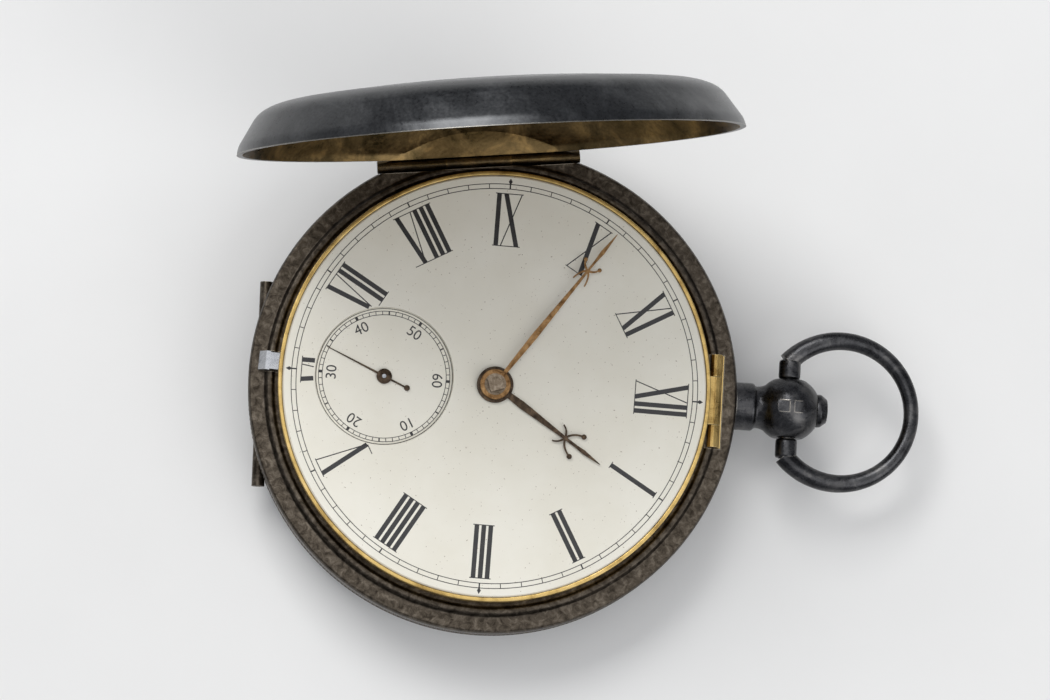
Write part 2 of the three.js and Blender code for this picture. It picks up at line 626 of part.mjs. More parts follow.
const pillarProfile = [
  [0, TOP_PLATE_Z[0] - 0.15], [SPIGOT_RADIUS, TOP_PLATE_Z[0] - 0.15], [SPIGOT_RADIUS, TOP_PLATE_Z[1]],
  [1.25, TOP_PLATE_Z[1]], [1.25, TOP_PLATE_Z[1] + 0.5], [0.85, TOP_PLATE_Z[1] + 0.9],
  [0.85, PILLAR_PLATE_Z[0] - 0.9], [1.25, PILLAR_PLATE_Z[0] - 0.5], [1.25, PILLAR_PLATE_Z[0]],
  [0, PILLAR_PLATE_Z[0]],
];
pillarPoints.forEach((at, i) => put(`pillar_${i + 1}`, turned(pillarProfile, 10, at), 'brass'));

const leafPlate = block(
  [20.4, JOINT_X], [-JOINT_LEAF_HALF, JOINT_LEAF_HALF], [PILLAR_PLATE_Z[1], PILLAR_PLATE_Z[1] + 0.18],
);
const jointBore = crossBar(PIN_BORE_RADIUS, [-6, 6], [JOINT_X, JOINT_Z], 8);
const leafKnuckle = crossBar(JOINT_RADIUS, [-JOINT_LEAF_HALF, JOINT_LEAF_HALF], [JOINT_X, JOINT_Z]);
const jointLeaf = cut(joined(leafPlate, leafKnuckle), jointBore);
put('movement_joint_leaf', jointLeaf, 'brass');

const SEAT_BASE_TOP = 9.9;
const seatSpans = [[JOINT_LEAF_HALF + HINGE_GAP, JOINT_HALF], [-JOINT_HALF, -JOINT_LEAF_HALF - HINGE_GAP]];
const seatKnuckles = seatSpans.map((span) => crossBar(JOINT_RADIUS, span, [JOINT_X, JOINT_Z]));
const seatWebs = seatSpans.map((span) => block(
  [JOINT_X - 0.3, JOINT_X + 0.5], span, [SEAT_BASE_TOP - 0.1, JOINT_Z],
));
const seatBase = block([22.35, 23.5], [-JOINT_HALF, JOINT_HALF], [JOINT_NOTCH_Z, SEAT_BASE_TOP]);
put('movement_joint_seat', cut(joined(seatBase, ...seatKnuckles, ...seatWebs), jointBore), 'brass');
put('movement_joint_pin', crossBar(PIN_RADIUS, [-JOINT_HALF, JOINT_HALF], [JOINT_X, JOINT_Z], 8), 'steel');

const BOLT_TAIL_Z = [PILLAR_PLATE_Z[1] + 0.04, PILLAR_PLATE_Z[1] + 0.4];
const boltMatrix = turn(BOLT_ANGLE);
const boltSpread = (extra) => [-BOLT_HALF_WIDTH - extra, BOLT_HALF_WIDTH + extra];
const boltTail = block([18.6, 23.2], boltSpread(-0.1), BOLT_TAIL_Z, boltMatrix);
// The head slopes outwards, so that the shut front cover clears it.
const BOLT_EDGE = [24.1, 10.35];
const BOLT_SLOPE_DEG = 56;
const boltSlope = boltMatrix.clone()
  .multiply(new THREE.Matrix4().makeTranslation(BOLT_EDGE[0], 0, BOLT_EDGE[1]))
  .multiply(new THREE.Matrix4().makeRotationY(degrees(BOLT_SLOPE_DEG)));
const boltHead = cut(
  block([22.95, BOLT_EDGE[0]], boltSpread(0), [10.05, BOLT_TAIL_Z[1]], boltMatrix),
  block([-3, 3], [-2, 2], [0, 3], boltSlope),
);
put('movement_bolt', joined(boltTail, boltHead), 'steel');
const boltWindow = block([20, 23], boltSpread(0.05), [10.9, 14], boltMatrix);
const brassEdge = ring(...BRASS_EDGE_RADII, [PILLAR_PLATE_Z[1], DIAL_Z[1] - 0.1]);
put('brass_edge', cut(brassEdge, jointLeaf, boltWindow), 'gilt');

// ---- Dial --------------------------------------------------------------------------------

const HOUR_PIPE_HOLE_RADIUS = 1.75;
const dialPlate = cut(
  disc(DIAL_RADIUS, DIAL_Z), disc(SECONDS_RECESS_RADIUS, [12, 13], 32, FOURTH_AT),
  disc(HOUR_PIPE_HOLE_RADIUS, [12, 13], 24),
);
put('dial', dialPlate, 'enamel');
const secondsDialProfile = [
  [0.4, SECONDS_DIAL_Z[0]], [SECONDS_RECESS_RADIUS + 0.5, SECONDS_DIAL_Z[0]],
  [SECONDS_RECESS_RADIUS + 0.5, DIAL_Z[0]], [SECONDS_RECESS_RADIUS - 0.03, DIAL_Z[0]],
  [SECONDS_RECESS_RADIUS - 0.03, SECONDS_DIAL_Z[1]], [0.4, SECONDS_DIAL_Z[1]],
];
put('seconds_dial', turned(secondsDialProfile, 32, FOURTH_AT), 'enamel');

// ---- Arbors and wheels -------------------------------------------------------------------

// An arbor with its pinion. The pivots run in the plates' holes.
function arborProfile(radius, pivot, [z0, z1], [pivotLow, pivotHigh]) {
  return [
    [0, pivotLow], [pivot, pivotLow], [pivot, z0], [radius, z0],
    [radius, z1], [pivot, z1], [pivot, pivotHigh], [0, pivotHigh],
  ];
}

const SHAKE = 0.05;
const arborSpan = [TOP_PLATE_Z[1] + SHAKE, PILLAR_PLATE_Z[0] - SHAKE];
const pivotSpan = [TOP_PLATE_Z[0] + 0.1, PILLAR_PLATE_Z[1] - 0.1];

function trainArbor(at, pinionShape, pinionLevel, pinionAngle, pivotEnds = pivotSpan) {
  const staff = turned(arborProfile(ARBOR_RADIUS, PIVOT_RADIUS, arborSpan, pivotEnds), 8, at);
  return joined(staff, slab(pinionShape, atLevel(pinionLevel), turn(pinionAngle, at)));
}

function trainWheel(train, rimWidth) {
  const rimRadius = train.teeth * train.module / 2 - TOOTH_ROOT * train.module - rimWidth;
  return withSpokes(gearShape(train.teeth, train.module), ARBOR_RADIUS, 1.15, rimRadius);
}

const centreRim = CENTRE.teeth * CENTRE.module / 2 - TOOTH_ROOT * CENTRE.module - 0.55;
const centreTeeth = gearShape(CENTRE.teeth, CENTRE.module);
const centreWheelShape = withSpokes(centreTeeth, CENTRE_ARBOR_RADIUS, 1.5, centreRim);
put('centre_wheel', slab(centreWheelShape, atLevel(CENTRE.level)), 'brass');
const centreStaff = turned([
  [0, TOP_PLATE_Z[0] + 0.1], [0.3, TOP_PLATE_Z[0] + 0.1], [0.3, arborSpan[0]],
  [CENTRE_ARBOR_RADIUS, arborSpan[0]], [CENTRE_ARBOR_RADIUS, MINUTE_HAND.z[1]], [0, MINUTE_HAND.z[1]],
], 16);
const centrePinionShape = gearShape(CENTRE.pinion, GREAT.module);
const centrePinion = slab(centrePinionShape, atLevel([2.85, 3.6]), turn(CENTRE_PINION_ANGLE));
put('centre_arbor', joined(centreStaff, centrePinion), 'steel');

put('third_wheel', slab(trainWheel(THIRD, 0.5), atLevel(THIRD.level), turn(0, THIRD_AT)), 'brass');
const thirdPinion = gearShape(THIRD.pinion, CENTRE.module);
put('third_arbor', trainArbor(THIRD_AT, thirdPinion, [3.5, 4.15], THIRD_PINION_ANGLE), 'steel');

put('fourth_wheel', slab(trainWheel(FOURTH, 0.45), atLevel(FOURTH.level), turn(0, FOURTH_AT)), 'brass');
const fourthPinion = gearShape(FOURTH.pinion, THIRD.module);
const fourthPivots = [pivotSpan[0], SECONDS_HAND.z[1] + 0.1];
const fourthArbor = trainArbor(
  FOURTH_AT, fourthPinion, [1.7, 2.4], FOURTH_PINION_ANGLE, fourthPivots,
);
put('fourth_arbor', fourthArbor, 'steel');

const escapeShape = toothedOutline(ESCAPE.teeth, ESCAPE.radius, ESCAPE.radius - 0.6, 0.4);
const spokedEscape = withSpokes(escapeShape, ARBOR_RADIUS, 0.75, 1.75, 4, 0.4);
put('escape_wheel', slab(spokedEscape, atLevel(ESCAPE.level), turn(0, ESCAPE_AT)), 'brass');
const escapePinion = gearShape(ESCAPE.pinion, FOURTH.module);
put('escape_arbor', trainArbor(ESCAPE_AT, escapePinion, [0.8, 1.4], ESCAPE_PINION_ANGLE), 'steel');

// ---- Lever and balance -------------------------------------------------------------------

const palletAim = between(ESCAPE_AT, LEVER_PIVOT_AT);
const PALLET_SPREAD = 48;
const PALLET_RADIUS = 3.05;
const palletPoints = [1, -1].map(
  (side) => plus(ESCAPE_AT, polar(PALLET_RADIUS, palletAim + side * PALLET_SPREAD)),
);
const forkAim = between(LEVER_PIVOT_AT, BALANCE_AT);
const forkEnd = plus(BALANCE_AT, polar(1.15, forkAim + 180));
const leverArms = [...palletPoints, forkEnd].map((end) => slab(
  stripShape([LEVER_PIVOT_AT, end], 0.4), atLevel(ESCAPE.level),
));
const leverHub = disc(0.55, atLevel(ESCAPE.level), 12, LEVER_PIVOT_AT);
const leverStaff = turned(arborProfile(0.32, PIVOT_RADIUS, arborSpan, pivotSpan), 8, LEVER_PIVOT_AT);
put('pallet_lever', joined(leverHub, leverStaff, ...leverArms), 'steel');

const POTENCE_Z = 7.0;
const potenceFoot = plus(BALANCE_AT, polar(1.9, forkAim));
const potence = joined(
  disc(0.6, [TOP_PLATE_Z[1], POTENCE_Z + 0.4], 12, potenceFoot),
  slab(stripShape([BALANCE_AT, potenceFoot], 0.9), [POTENCE_Z, POTENCE_Z + 0.4]),
  disc(0.55, [POTENCE_Z, POTENCE_Z + 0.4], 16, BALANCE_AT),
);
put('potence', cut(potence, drilled(0.16, BALANCE_AT)), 'brass');

const balanceRim = BALANCE.radius - BALANCE.rim;
const balanceOutline = shapeOf(arcLine(BALANCE.radius, 0, 350, 35));
const balanceShape = withSpokes(balanceOutline, ARBOR_RADIUS, 1.1, balanceRim, 3, 0.7);
put('balance_wheel', slab(balanceShape, BALANCE.z, turn(0, BALANCE_AT)), 'gilt');
const balanceStaffProfile = [
  [0, COCK_Z[0] + 0.1], [0.13, COCK_Z[0] + 0.1], [0.13, COCK_Z[1] + 0.05], [ARBOR_RADIUS, COCK_Z[1] + 0.05],
  [ARBOR_RADIUS, 6.0], [0.8, 6.0], [0.8, 6.4], [0.3, 6.4], [0.3, POTENCE_Z - 0.05], [0.13, POTENCE_Z - 0.05],
  [0.13, POTENCE_Z + 0.3], [0, POTENCE_Z + 0.3],
];
put('balance_staff', turned(balanceStaffProfile, 10, BALANCE_AT), 'steel');
const hairspringLine = spiralLine(HAIRSPRING.inner, HAIRSPRING.outer, HAIRSPRING.turns, 12, BALANCE_AT);
const hairspringStud = disc(0.25, [HAIRSPRING.z[0], TOP_PLATE_Z[0]], 8, hairspringLine.at(-1));
const hairspringCoil = slab(stripShape(hairspringLine, HAIRSPRING.thick), HAIRSPRING.z);
put('hairspring', joined(hairspringCoil, hairspringStud), 'blued');

const cockAngle = between([0, 0], BALANCE_AT);
const cockHub = Math.hypot(...BALANCE_AT);
const cockTable = slab(shapeOf([
  [cockHub, -1.5], [COCK_FOOT_RADII[1], -3.2], [COCK_FOOT_RADII[1], 3.2], [cockHub, 1.5],
]), COCK_Z, turn(cockAngle));
const cockFoot = block(COCK_FOOT_RADII, [-3.2, 3.2], [COCK_Z[0], TOP_PLATE_Z[0]], turn(cockAngle));
const cockBoss = disc(2.4, COCK_Z, 32, BALANCE_AT);
put('balance_cock', cut(joined(cockTable, cockFoot, cockBoss), drilled(0.16, BALANCE_AT)), 'gilt');

// ---- Barrel, fusee and chain -------------------------------------------------------------

const [barrelLow, barrelHigh] = atLevel(BARREL.level);
const barrelProfile = [
  [BARREL_ARBOR_RADIUS + RUNNING, barrelLow], [BARREL.radius, barrelLow], [BARREL.radius, barrelHigh],
  [BARREL.radius - BARREL.wall, barrelHigh], [BARREL.radius - BARREL.wall, barrelLow + BARREL.wall],
  [BARREL_ARBOR_RADIUS + RUNNING, barrelLow + BARREL.wall],
];
put('barrel', turned(barrelProfile, 32, BARREL_AT), 'brass');
const barrelArborProfile = [
  [0, BRIDGE.earZ + 0.1], [0.7, BRIDGE.earZ + 0.1], [0.7, arborSpan[0]], [BARREL_ARBOR_RADIUS, arborSpan[0]],
  [BARREL_ARBOR_RADIUS, 11.45], [0, 11.45],
];
put('barrel_arbor', turned(barrelArborProfile, 20, BARREL_AT), 'steel');
const mainspringLine = spiralLine(1.6, BARREL.radius - BARREL.wall - 0.25, 4, 14, BARREL_AT);
const mainspringZ = [barrelLow + BARREL.wall + 0.1, barrelHigh - 0.2];
put('mainspring', slab(stripShape(mainspringLine, 0.2), mainspringZ), 'blued');
const RATCHET_Z = [PILLAR_PLATE_Z[1] + 0.03, PILLAR_PLATE_Z[1] + 0.35];
const ratchetShape = toothedOutline(16, 2.3, 1.95, 0.4);
ratchetShape.holes.push(boreHole(BARREL_ARBOR_RADIUS));
put('setup_ratchet', slab(ratchetShape, RATCHET_Z, turn(0, BARREL_AT)), 'steel');

const FUSEE_TOP_Z = TOP_PLATE_Z[1] + FUSEE_STEPS[0][1];
const GROOVE_DEPTH = 0.35;
const LAND = 0.1;
const fuseeOutline = FUSEE_STEPS.flatMap(([radius, level]) => {
  const top = TOP_PLATE_Z[1] + level;
  const low = top - FUSEE_PITCH;
  const grooveRadius = radius - GROOVE_DEPTH;
  return [[radius, top], [radius, top - LAND], [grooveRadius, top - LAND], [grooveRadius, low]];
});
const fuseeFoot = TOP_PLATE_Z[1] + FUSEE_FOOT_LEVEL;
const fuseeBore = FUSEE_ARBOR_RADIUS;
const fuseeProfile = [
  [fuseeBore, FUSEE_TOP_Z], ...fuseeOutline,
  [FUSEE_STEPS.at(-1)[0] - GROOVE_DEPTH, fuseeFoot], [fuseeBore, fuseeFoot],
];
put('fusee_cone', turned(fuseeProfile, 20, FUSEE_AT), 'brass');
const greatRim = GREAT.teeth * GREAT.module / 2 - TOOTH_ROOT * GREAT.module - 1.6;
const greatShape = withSpokes(gearShape(GREAT.teeth, GREAT.module), fuseeBore, 2.2, greatRim, 4, 1.2);
put('great_wheel', slab(greatShape, atLevel(GREAT.level), turn(0, FUSEE_AT)), 'brass');
const SQUARE_HALF = 0.62;
const SQUARE_TOP_Z = 4.4;
const fuseeArborProfile = [
  [0, SQUARE_TOP_Z], [FUSEE_ARBOR_RADIUS, SQUARE_TOP_Z], [FUSEE_ARBOR_RADIUS, arborSpan[1]],
  [0.5, arborSpan[1]], [0.5, pivotSpan[1]], [0, pivotSpan[1]],
];
const squareSpan = [-SQUARE_HALF, SQUARE_HALF];
const windingSquare = block(squareSpan, squareSpan, [2.05, SQUARE_TOP_Z], turn(12, FUSEE_AT));
const fuseeShaft = turned(fuseeArborProfile, 20, FUSEE_AT);
put('fusee_arbor', joined(fuseeShaft, windingSquare), 'steel');

const chainRadiusOnFusee = FUSEE_STEPS[2][0] - GROOVE_DEPTH + CHAIN.clear + CHAIN.thick / 2;
const chainRadiusOnBarrel = BARREL.radius + CHAIN.clear + CHAIN.thick / 2;
const barrelAim = between(FUSEE_AT, BARREL_AT);
const centresApart = Math.hypot(BARREL_AT[0] - FUSEE_AT[0], BARREL_AT[1] - FUSEE_AT[1]);
const tangentAngle = barrelAim + THREE.MathUtils.radToDeg(
  Math.acos((chainRadiusOnFusee - chainRadiusOnBarrel) / centresApart),
);
const chainTop = TOP_PLATE_Z[1] + FUSEE_STEPS[2][1] - LAND - 0.03;
const chainLine = [
  ...arcLine(chainRadiusOnFusee, tangentAngle + 240, tangentAngle, 20, FUSEE_AT),
  ...arcLine(chainRadiusOnBarrel, tangentAngle, tangentAngle - 240, 20, BARREL_AT),
];
put('fusee_chain', slab(stripShape(chainLine, CHAIN.thick), [chainTop - 0.34, chainTop]), 'steel');

// ---- Motion work -------------------------------------------------------------------------

const cannonBore = disc(CENTRE_ARBOR_RADIUS, [10, MINUTE_HAND.z[1]], 16);
const cannonPipe = disc(CANNON_PIPE_RADIUS, [CANNON.z[1] + 0.03, MINUTE_HAND.z[1] + 0.1], 24);
const cannonRootRadius = CANNON.teeth * CANNON.module / 2 - TOOTH_ROOT * CANNON.module;
const cannonRoot = disc(cannonRootRadius, [CANNON.z[0], CANNON.z[1] + 0.1], 16);
const squareHalf = SETTING_SQUARE.width / 2;
const settingSquare = block(
  [-squareHalf, squareHalf], [-squareHalf, squareHalf], [MINUTE_HAND.z[1], SETTING_SQUARE.top],
  turn(SETTING_SQUARE.angle),
);
const cannonTeeth = slab(gearShape(CANNON.teeth, CANNON.module), CANNON.z);
put('cannon_pinion', cut(joined(cannonTeeth, cannonRoot, cannonPipe, settingSquare), cannonBore), 'steel');

const minuteShape = gearShape(MINUTE_WHEEL.teeth, CANNON.module);
const STUD_RADIUS = 0.4;
const minutePinionShape = gearShape(MINUTE_WHEEL.pinion, MINUTE_PINION_MODULE);
const minuteWheel = joined(
  slab(minuteShape, MINUTE_WHEEL.z, turn(MINUTE_WHEEL_ANGLE, MINUTE_WHEEL_AT)),
  slab(minutePinionShape, [MINUTE_WHEEL.z[1] - 0.02, 12.1], turn(0, MINUTE_WHEEL_AT)),
);
put('minute_wheel', cut(minuteWheel, drilled(STUD_RADIUS + RUNNING, MINUTE_WHEEL_AT)), 'brass');
put('minute_wheel_stud', disc(STUD_RADIUS, [PILLAR_PLATE_Z[1], 12.2], 12, MINUTE_WHEEL_AT), 'steel');

const hourWheel = joined(
  slab(gearShape(HOUR_WHEEL.teeth, MINUTE_PINION_MODULE), HOUR_WHEEL.z, turn(HOUR_WHEEL_ANGLE)),
  disc(HOUR_PIPE_RADII[1], [HOUR_WHEEL.z[0], HOUR_HAND.z[1] + 0.05], 24),
);
put('hour_wheel', cut(hourWheel, disc(HOUR_PIPE_RADII[0], [10, 15], 24)), 'brass');

// ---- Hands -------------------------------------------------------------------------------

// A tapered blade along +X through [position, half width] pairs.
function bladeShape(widths) {
  return shapeOf([
    ...widths.map(([x, half]) => [x, half]),
    ...[...widths].reverse().map(([x, half]) => [x, -half]),
  ]);
}

// A hand with the small curled cross near its tip.
function crossedHand(hand, boreRadius, hubRadius, widths, cross) {
  const matrix = turn(hand.angle);
  const pieces = [slab(bladeShape(widths), hand.z, matrix), disc(hubRadius, hand.z, 20)];
  for (const side of [1, -1]) {
    const forward = [
      [cross.x, 0], [cross.x + cross.reach * 0.25, side * cross.out * 0.45],
      [cross.x + cross.reach, side * cross.out],
    ];
    const rear = [[cross.x, 0], [cross.x - cross.back, side * cross.out * 0.75]];
    pieces.push(slab(stripShape(forward, cross.thick), hand.z, matrix));
    pieces.push(slab(stripShape(rear, cross.thick), hand.z, matrix));
    const tip = new THREE.Vector3(cross.x + cross.reach, side * cross.out, 0).applyMatrix4(matrix);
    pieces.push(disc(cross.ball, hand.z, 8, [tip.x, tip.y]));
  }
  return cut(joined(...pieces), disc(boreRadius, [10, 20], 24));
}

const hourWidths = [
  [1.2, 0.3], [3.5, 0.4], [8.9, 0.18], [10.4, 0.16], [11.3, 0.23], [HOUR_HAND.length, 0.04],
];
const hourCross = { x: 8.95, reach: 1.45, out: 1.3, back: 0.9, thick: 0.2, ball: 0.34 };
put('hour_hand', crossedHand(HOUR_HAND, HOUR_PIPE_RADII[1], 1.86, hourWidths, hourCross), 'darkSteel');
const minuteWidths = [
  [1.2, 0.2], [6.4, 0.33], [15, 0.13], [16.2, 0.13], [17.4, 0.24], [MINUTE_HAND.length, 0.04],
];
const minuteCross = { x: 15.0, reach: 0.8, out: 0.95, back: 1.5, thick: 0.18, ball: 0.3 };
put('minute_hand', crossedHand(MINUTE_HAND, CANNON_PIPE_RADIUS, 1.56, minuteWidths, minuteCross), 'bronze');

const secondsMatrix = turn(SECONDS_HAND.angle, FOURTH_AT);
const secondsTail = plus(FOURTH_AT, polar(SECONDS_HAND.tail, SECONDS_HAND.angle + 180));
const secondsBlade = bladeShape([[-SECONDS_HAND.tail, 0.09], [0, 0.12], [SECONDS_HAND.length, 0.05]]);
const secondsHand = joined(
  slab(secondsBlade, SECONDS_HAND.z, secondsMatrix), disc(0.78, SECONDS_HAND.z, 16, FOURTH_AT),
  disc(0.3, SECONDS_HAND.z, 10, secondsTail),
);
put('seconds_hand', cut(secondsHand, drilled(PIVOT_RADIUS, FOURTH_AT)), 'darkSteel');

export default watch;
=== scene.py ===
"""Looks of a silver full-hunter pocket watch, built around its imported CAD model.

Shapes are made in millimetres in the CAD frame: +X to the pendant, +Y to the front cover's
hinge, +Z out of the dial. make() turns them into metres.
"""

import json
import math

import bmesh
import bpy
from mathutils import Matrix, Vector


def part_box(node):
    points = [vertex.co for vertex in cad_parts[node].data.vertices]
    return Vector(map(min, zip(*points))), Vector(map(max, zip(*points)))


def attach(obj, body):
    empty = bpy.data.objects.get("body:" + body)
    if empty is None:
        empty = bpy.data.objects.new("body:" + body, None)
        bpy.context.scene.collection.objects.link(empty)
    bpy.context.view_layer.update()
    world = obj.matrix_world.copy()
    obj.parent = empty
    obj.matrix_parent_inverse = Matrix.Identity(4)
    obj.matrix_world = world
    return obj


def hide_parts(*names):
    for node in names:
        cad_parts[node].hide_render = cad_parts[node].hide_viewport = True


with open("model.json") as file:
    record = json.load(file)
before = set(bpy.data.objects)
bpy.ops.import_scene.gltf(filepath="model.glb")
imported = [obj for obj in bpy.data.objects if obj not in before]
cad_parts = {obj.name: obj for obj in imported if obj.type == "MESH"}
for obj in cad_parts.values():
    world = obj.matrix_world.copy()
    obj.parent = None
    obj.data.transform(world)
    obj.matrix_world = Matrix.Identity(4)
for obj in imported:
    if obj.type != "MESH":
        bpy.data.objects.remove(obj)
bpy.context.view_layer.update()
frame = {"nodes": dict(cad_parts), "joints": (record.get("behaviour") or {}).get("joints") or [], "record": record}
MM = 0.001
JOINTS = {joint["name"]: joint for joint in frame["joints"]}


def box(node):
    low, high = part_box(node)
    return low / MM, high / MM


def joint_at(name):
    return Vector(JOINTS[name]["pos_m"]) / MM


def direction_of(point):
    """The angle in degrees from the centre of the dial to a point."""
    return math.degrees(math.atan2(point.y, point.x))


# ---- Driving dimensions, taken from the frame ----------------------------------------------

CASE_LOW, CASE_HIGH = box("case_middle")
CASE_RADIUS = CASE_HIGH.x
RIDGE_TOP = CASE_HIGH.z
RING_TOP = RIDGE_TOP - 0.5
BAND_BOTTOM = CASE_LOW.z
LEDGE_TOP = RIDGE_TOP - 0.3
REEDS = 328
REED_DEPTH = 0.09
REED_MARGIN = 0.75
RIM_GAP = 0.05
STEM_BORE = 0.95
BOLT_SLOT_HALF = 1.05
BOLT_WINDOW_HALF = 1.0
WINDING_HOLE_RADIUS = 1.6

FRONT_HALF = 10.45
BACK_HALF = 10.6
MIDDLE_HALF = 3.35
KNUCKLE_RADIUS = 0.66
PIN_RADIUS = 0.26
PIN_BORE = 0.28
HINGE_GAP = 0.05
CLEAR = 0.08
FRONT_AT = joint_at("front_cover_hinge")
BACK_AT = joint_at("back_cover_hinge")
LID_OPEN = math.radians(-JOINTS["front_cover_hinge"]["range_deg"][0])
LID_AXIS = Vector(JOINTS["front_cover_hinge"]["axis"])

COVER_WALL = 0.55
COVER_CURVE = 3.2
COVER_SEGMENTS = 256
LID_RIM = RING_TOP + RIM_GAP
LID_PROFILE = [(24.95, 0), (24.75, 0.8), (22.7, 3.9), (20.9, 4.7), (12.9, 5.5), (0, 5.95)]
BACK_RIM = BAND_BOTTOM - RIM_GAP
BACK_PROFILE = [
    (24.9, 0), (24.6, 1.2), (22.6, 3.3), (19.5, 4.2), (15, BACK_RIM), (0, BACK_RIM),
]

STEM_Z = joint_at("bow_pivot").z
BALL_X = joint_at("bow_pivot").x
BALL_RADIUS = 3.4
BALL_END = box("pendant")[1].x
BALL_START = 28.15
BALL_FLAT = 3.0
NECK = [(STEM_BORE, 24), (2.45, 24), (2.45, 26.9), (2.15, 27.15), (2.15, 27.6)]
CAP_RADIUS = 1.7
CAP_SEAT_DEPTH = 0.9
MOUTH_RADIUS = CAP_RADIUS + 0.06
PUNCH_HALF = 0.6
PUNCH_DEPTH = 0.3
PUNCHES_AT = (-0.75, 0.95)
BOW_CENTRE = 36.0
BOW_RADIUS = 7.4
BOW_END = 139
BOW_THIN = 0.78
BOW_SWELL = 0.27
BOW_PIN_RADIUS = 0.8
BOW_EYE_RADIUS = 1.12

DIAL_LOW, DIAL_HIGH = box("dial")
DIAL_RADIUS = DIAL_HIGH.x
DIAL_TOP = DIAL_HIGH.z
DIAL_DOME = 0.12
DIAL_BORE = 1.75
DIAL_CHAMFER = 0.15
BRASS_EDGE_RADII = (21.6, 22.03)
SECONDS_AT = joint_at("fourth_spin")
SECONDS_RADIUS = 7.05
SECONDS_TOP = box("seconds_dial")[1].z
TWIST = direction_of(SECONDS_AT) - 180
PRINT_LIFT = 0.008
PRINT_THICK = 0.012
MINUTE_TRACK = (20.16, 20.65)
MINUTE_LINE = 0.08
DIAMOND = (20.62, 20.95, 21.3)
DIAMOND_HALF = 0.2
SECONDS_TRACK = (6.27, 6.64)
SECONDS_LINE = 0.07
SECONDS_BORDER = (6.9, 6.97)
SECONDS_TEXT_RADIUS = 5.35
SECONDS_TEXT_SIZE = 1.5

# Blade widths are (distance from the centre, half width).
HOUR_BLADE = [(1.2, 0.3), (3.5, 0.4), (8.9, 0.16), (10.4, 0.15), (11.3, 0.22), (13.4, 0.035)]
MINUTE_BLADE = [(1.2, 0.2), (6.4, 0.32), (15, 0.12), (16.2, 0.12), (17.4, 0.22), (19.85, 0.035)]
SECONDS_BLADE = [(-2.6, 0.08), (0, 0.11), (6.6, 0.035)]
# A cross is its distance from the centre, its reach forwards and sideways, its reach
# backwards, and the radius of its balls.
HOUR_CROSS = (8.95, 1.45, 1.25, 0.95, 0.27)
MINUTE_CROSS = (15.0, 0.8, 0.9, 1.5, 0.22)


BOLT_LOW, BOLT_HIGH = box("movement_bolt")
BOLT_ANGLE = direction_of((BOLT_LOW + BOLT_HIGH) / 2)


# ---- Mesh helpers --------------------------------------------------------------------------

def make(name, points, faces, sharp_degrees=32):
    mesh = bpy.data.meshes.new(name)
    mesh.from_pydata([Vector(point) * MM for point in points], [], faces)
    tidy_mesh(mesh, sharp_degrees)
    piece = bpy.data.objects.new(name, mesh)
    bpy.context.scene.collection.objects.link(piece)
    return piece


def tidy_mesh(mesh, sharp_degrees=32):
    work = bmesh.new()
    work.from_mesh(mesh)
    bmesh.ops.remove_doubles(work, verts=work.verts, dist=1e-8)
    bmesh.ops.recalc_face_normals(work, faces=work.faces)
    work.to_mesh(mesh)
    work.free()
    mesh.shade_smooth()
    mesh.set_sharp_from_angle(angle=math.radians(sharp_degrees))


def combine(piece, others, operation):
    """Cuts or joins other pieces into a piece, and removes them."""
    for other in others:
        step = piece.modifiers.new("step", "BOOLEAN")
        step.operation = operation
        step.solver = "EXACT"
        step.object = other
        bpy.context.view_layer.update()
        result = bpy.data.meshes.new_from_object(
            piece.evaluated_get(bpy.context.evaluated_depsgraph_get())
        )
        piece.modifiers.clear()
        piece.data = result
        bpy.data.objects.remove(other)
    tidy_mesh(piece.data)
    return piece


def cut(piece, *others):
    return combine(piece, others, "DIFFERENCE")


def join(piece, *others):
    return combine(piece, others, "UNION")


def rounded(outline, radius, steps=4, closed=True):
    """Each corner that isn't on the axis becomes a short curve."""
    result = []
    for i, corner in enumerate(outline):
        here = Vector(corner)
        is_end = not closed and i in (0, len(outline) - 1)
        if here.x < 1e-6 or is_end:
            result.append(tuple(here))
            continue
        before = Vector(outline[i - 1]) - here
        after = Vector(outline[(i + 1) % len(outline)]) - here
        reach = min(radius, before.length * 0.45, after.length * 0.45)
        start = here + before.normalized() * reach
        end = here + after.normalized() * reach
        for k in range(steps + 1):
            t = k / steps
            result.append(tuple(start * (1 - t) ** 2 + here * 2 * t * (1 - t) + end * t * t))
    return result


def lathe(name, outline, segments=192, wave=None, at=(0, 0)):
    """A closed outline of (radius, height) turned round an upright axis."""
    points, rings = [], []
    for radius, height in outline:
        if radius < 1e-6:
            rings.append([len(points)])
            points.append((at[0], at[1], height))
            continue
        ring = []
        for i in range(segments):
            angle = math.tau * i / segments
            reach = radius - (wave(radius, height, angle) if wave else 0)
            ring.append(len(points))
            points.append((at[0] + reach * math.cos(angle), at[1] + reach * math.sin(angle), height))
        rings.append(ring)
    faces = []
    for low, high in zip(rings, rings[1:] + rings[:1]):
        if len(low) == 1 and len(high) == 1:
            continue
        for i in range(segments):
            j = (i + 1) % segments
            corners = [low[i % len(low)], low[j % len(low)], high[j % len(high)], high[i % len(high)]]
            faces.append(list(dict.fromkeys(corners)))
    return make(name, points, faces)


def move(piece, matrix):
    """Applies a matrix in millimetres to a piece's points."""
    in_metres = matrix.copy()
    in_metres.translation *= MM
    piece.data.transform(in_metres)
    return piece


def about(angle_degrees):
    return Matrix.Rotation(math.radians(angle_degrees), 4, "Z")


def block(x, y, z, angle=0):
    points = [(a, b, c) for a in x for b in y for c in z]
    faces = [(0, 1, 3, 2), (4, 6, 7, 5), (0, 4, 5, 1), (2, 3, 7, 6), (0, 2, 6, 4), (1, 5, 7, 3)]
    return move(make("block", points, faces), about(angle))


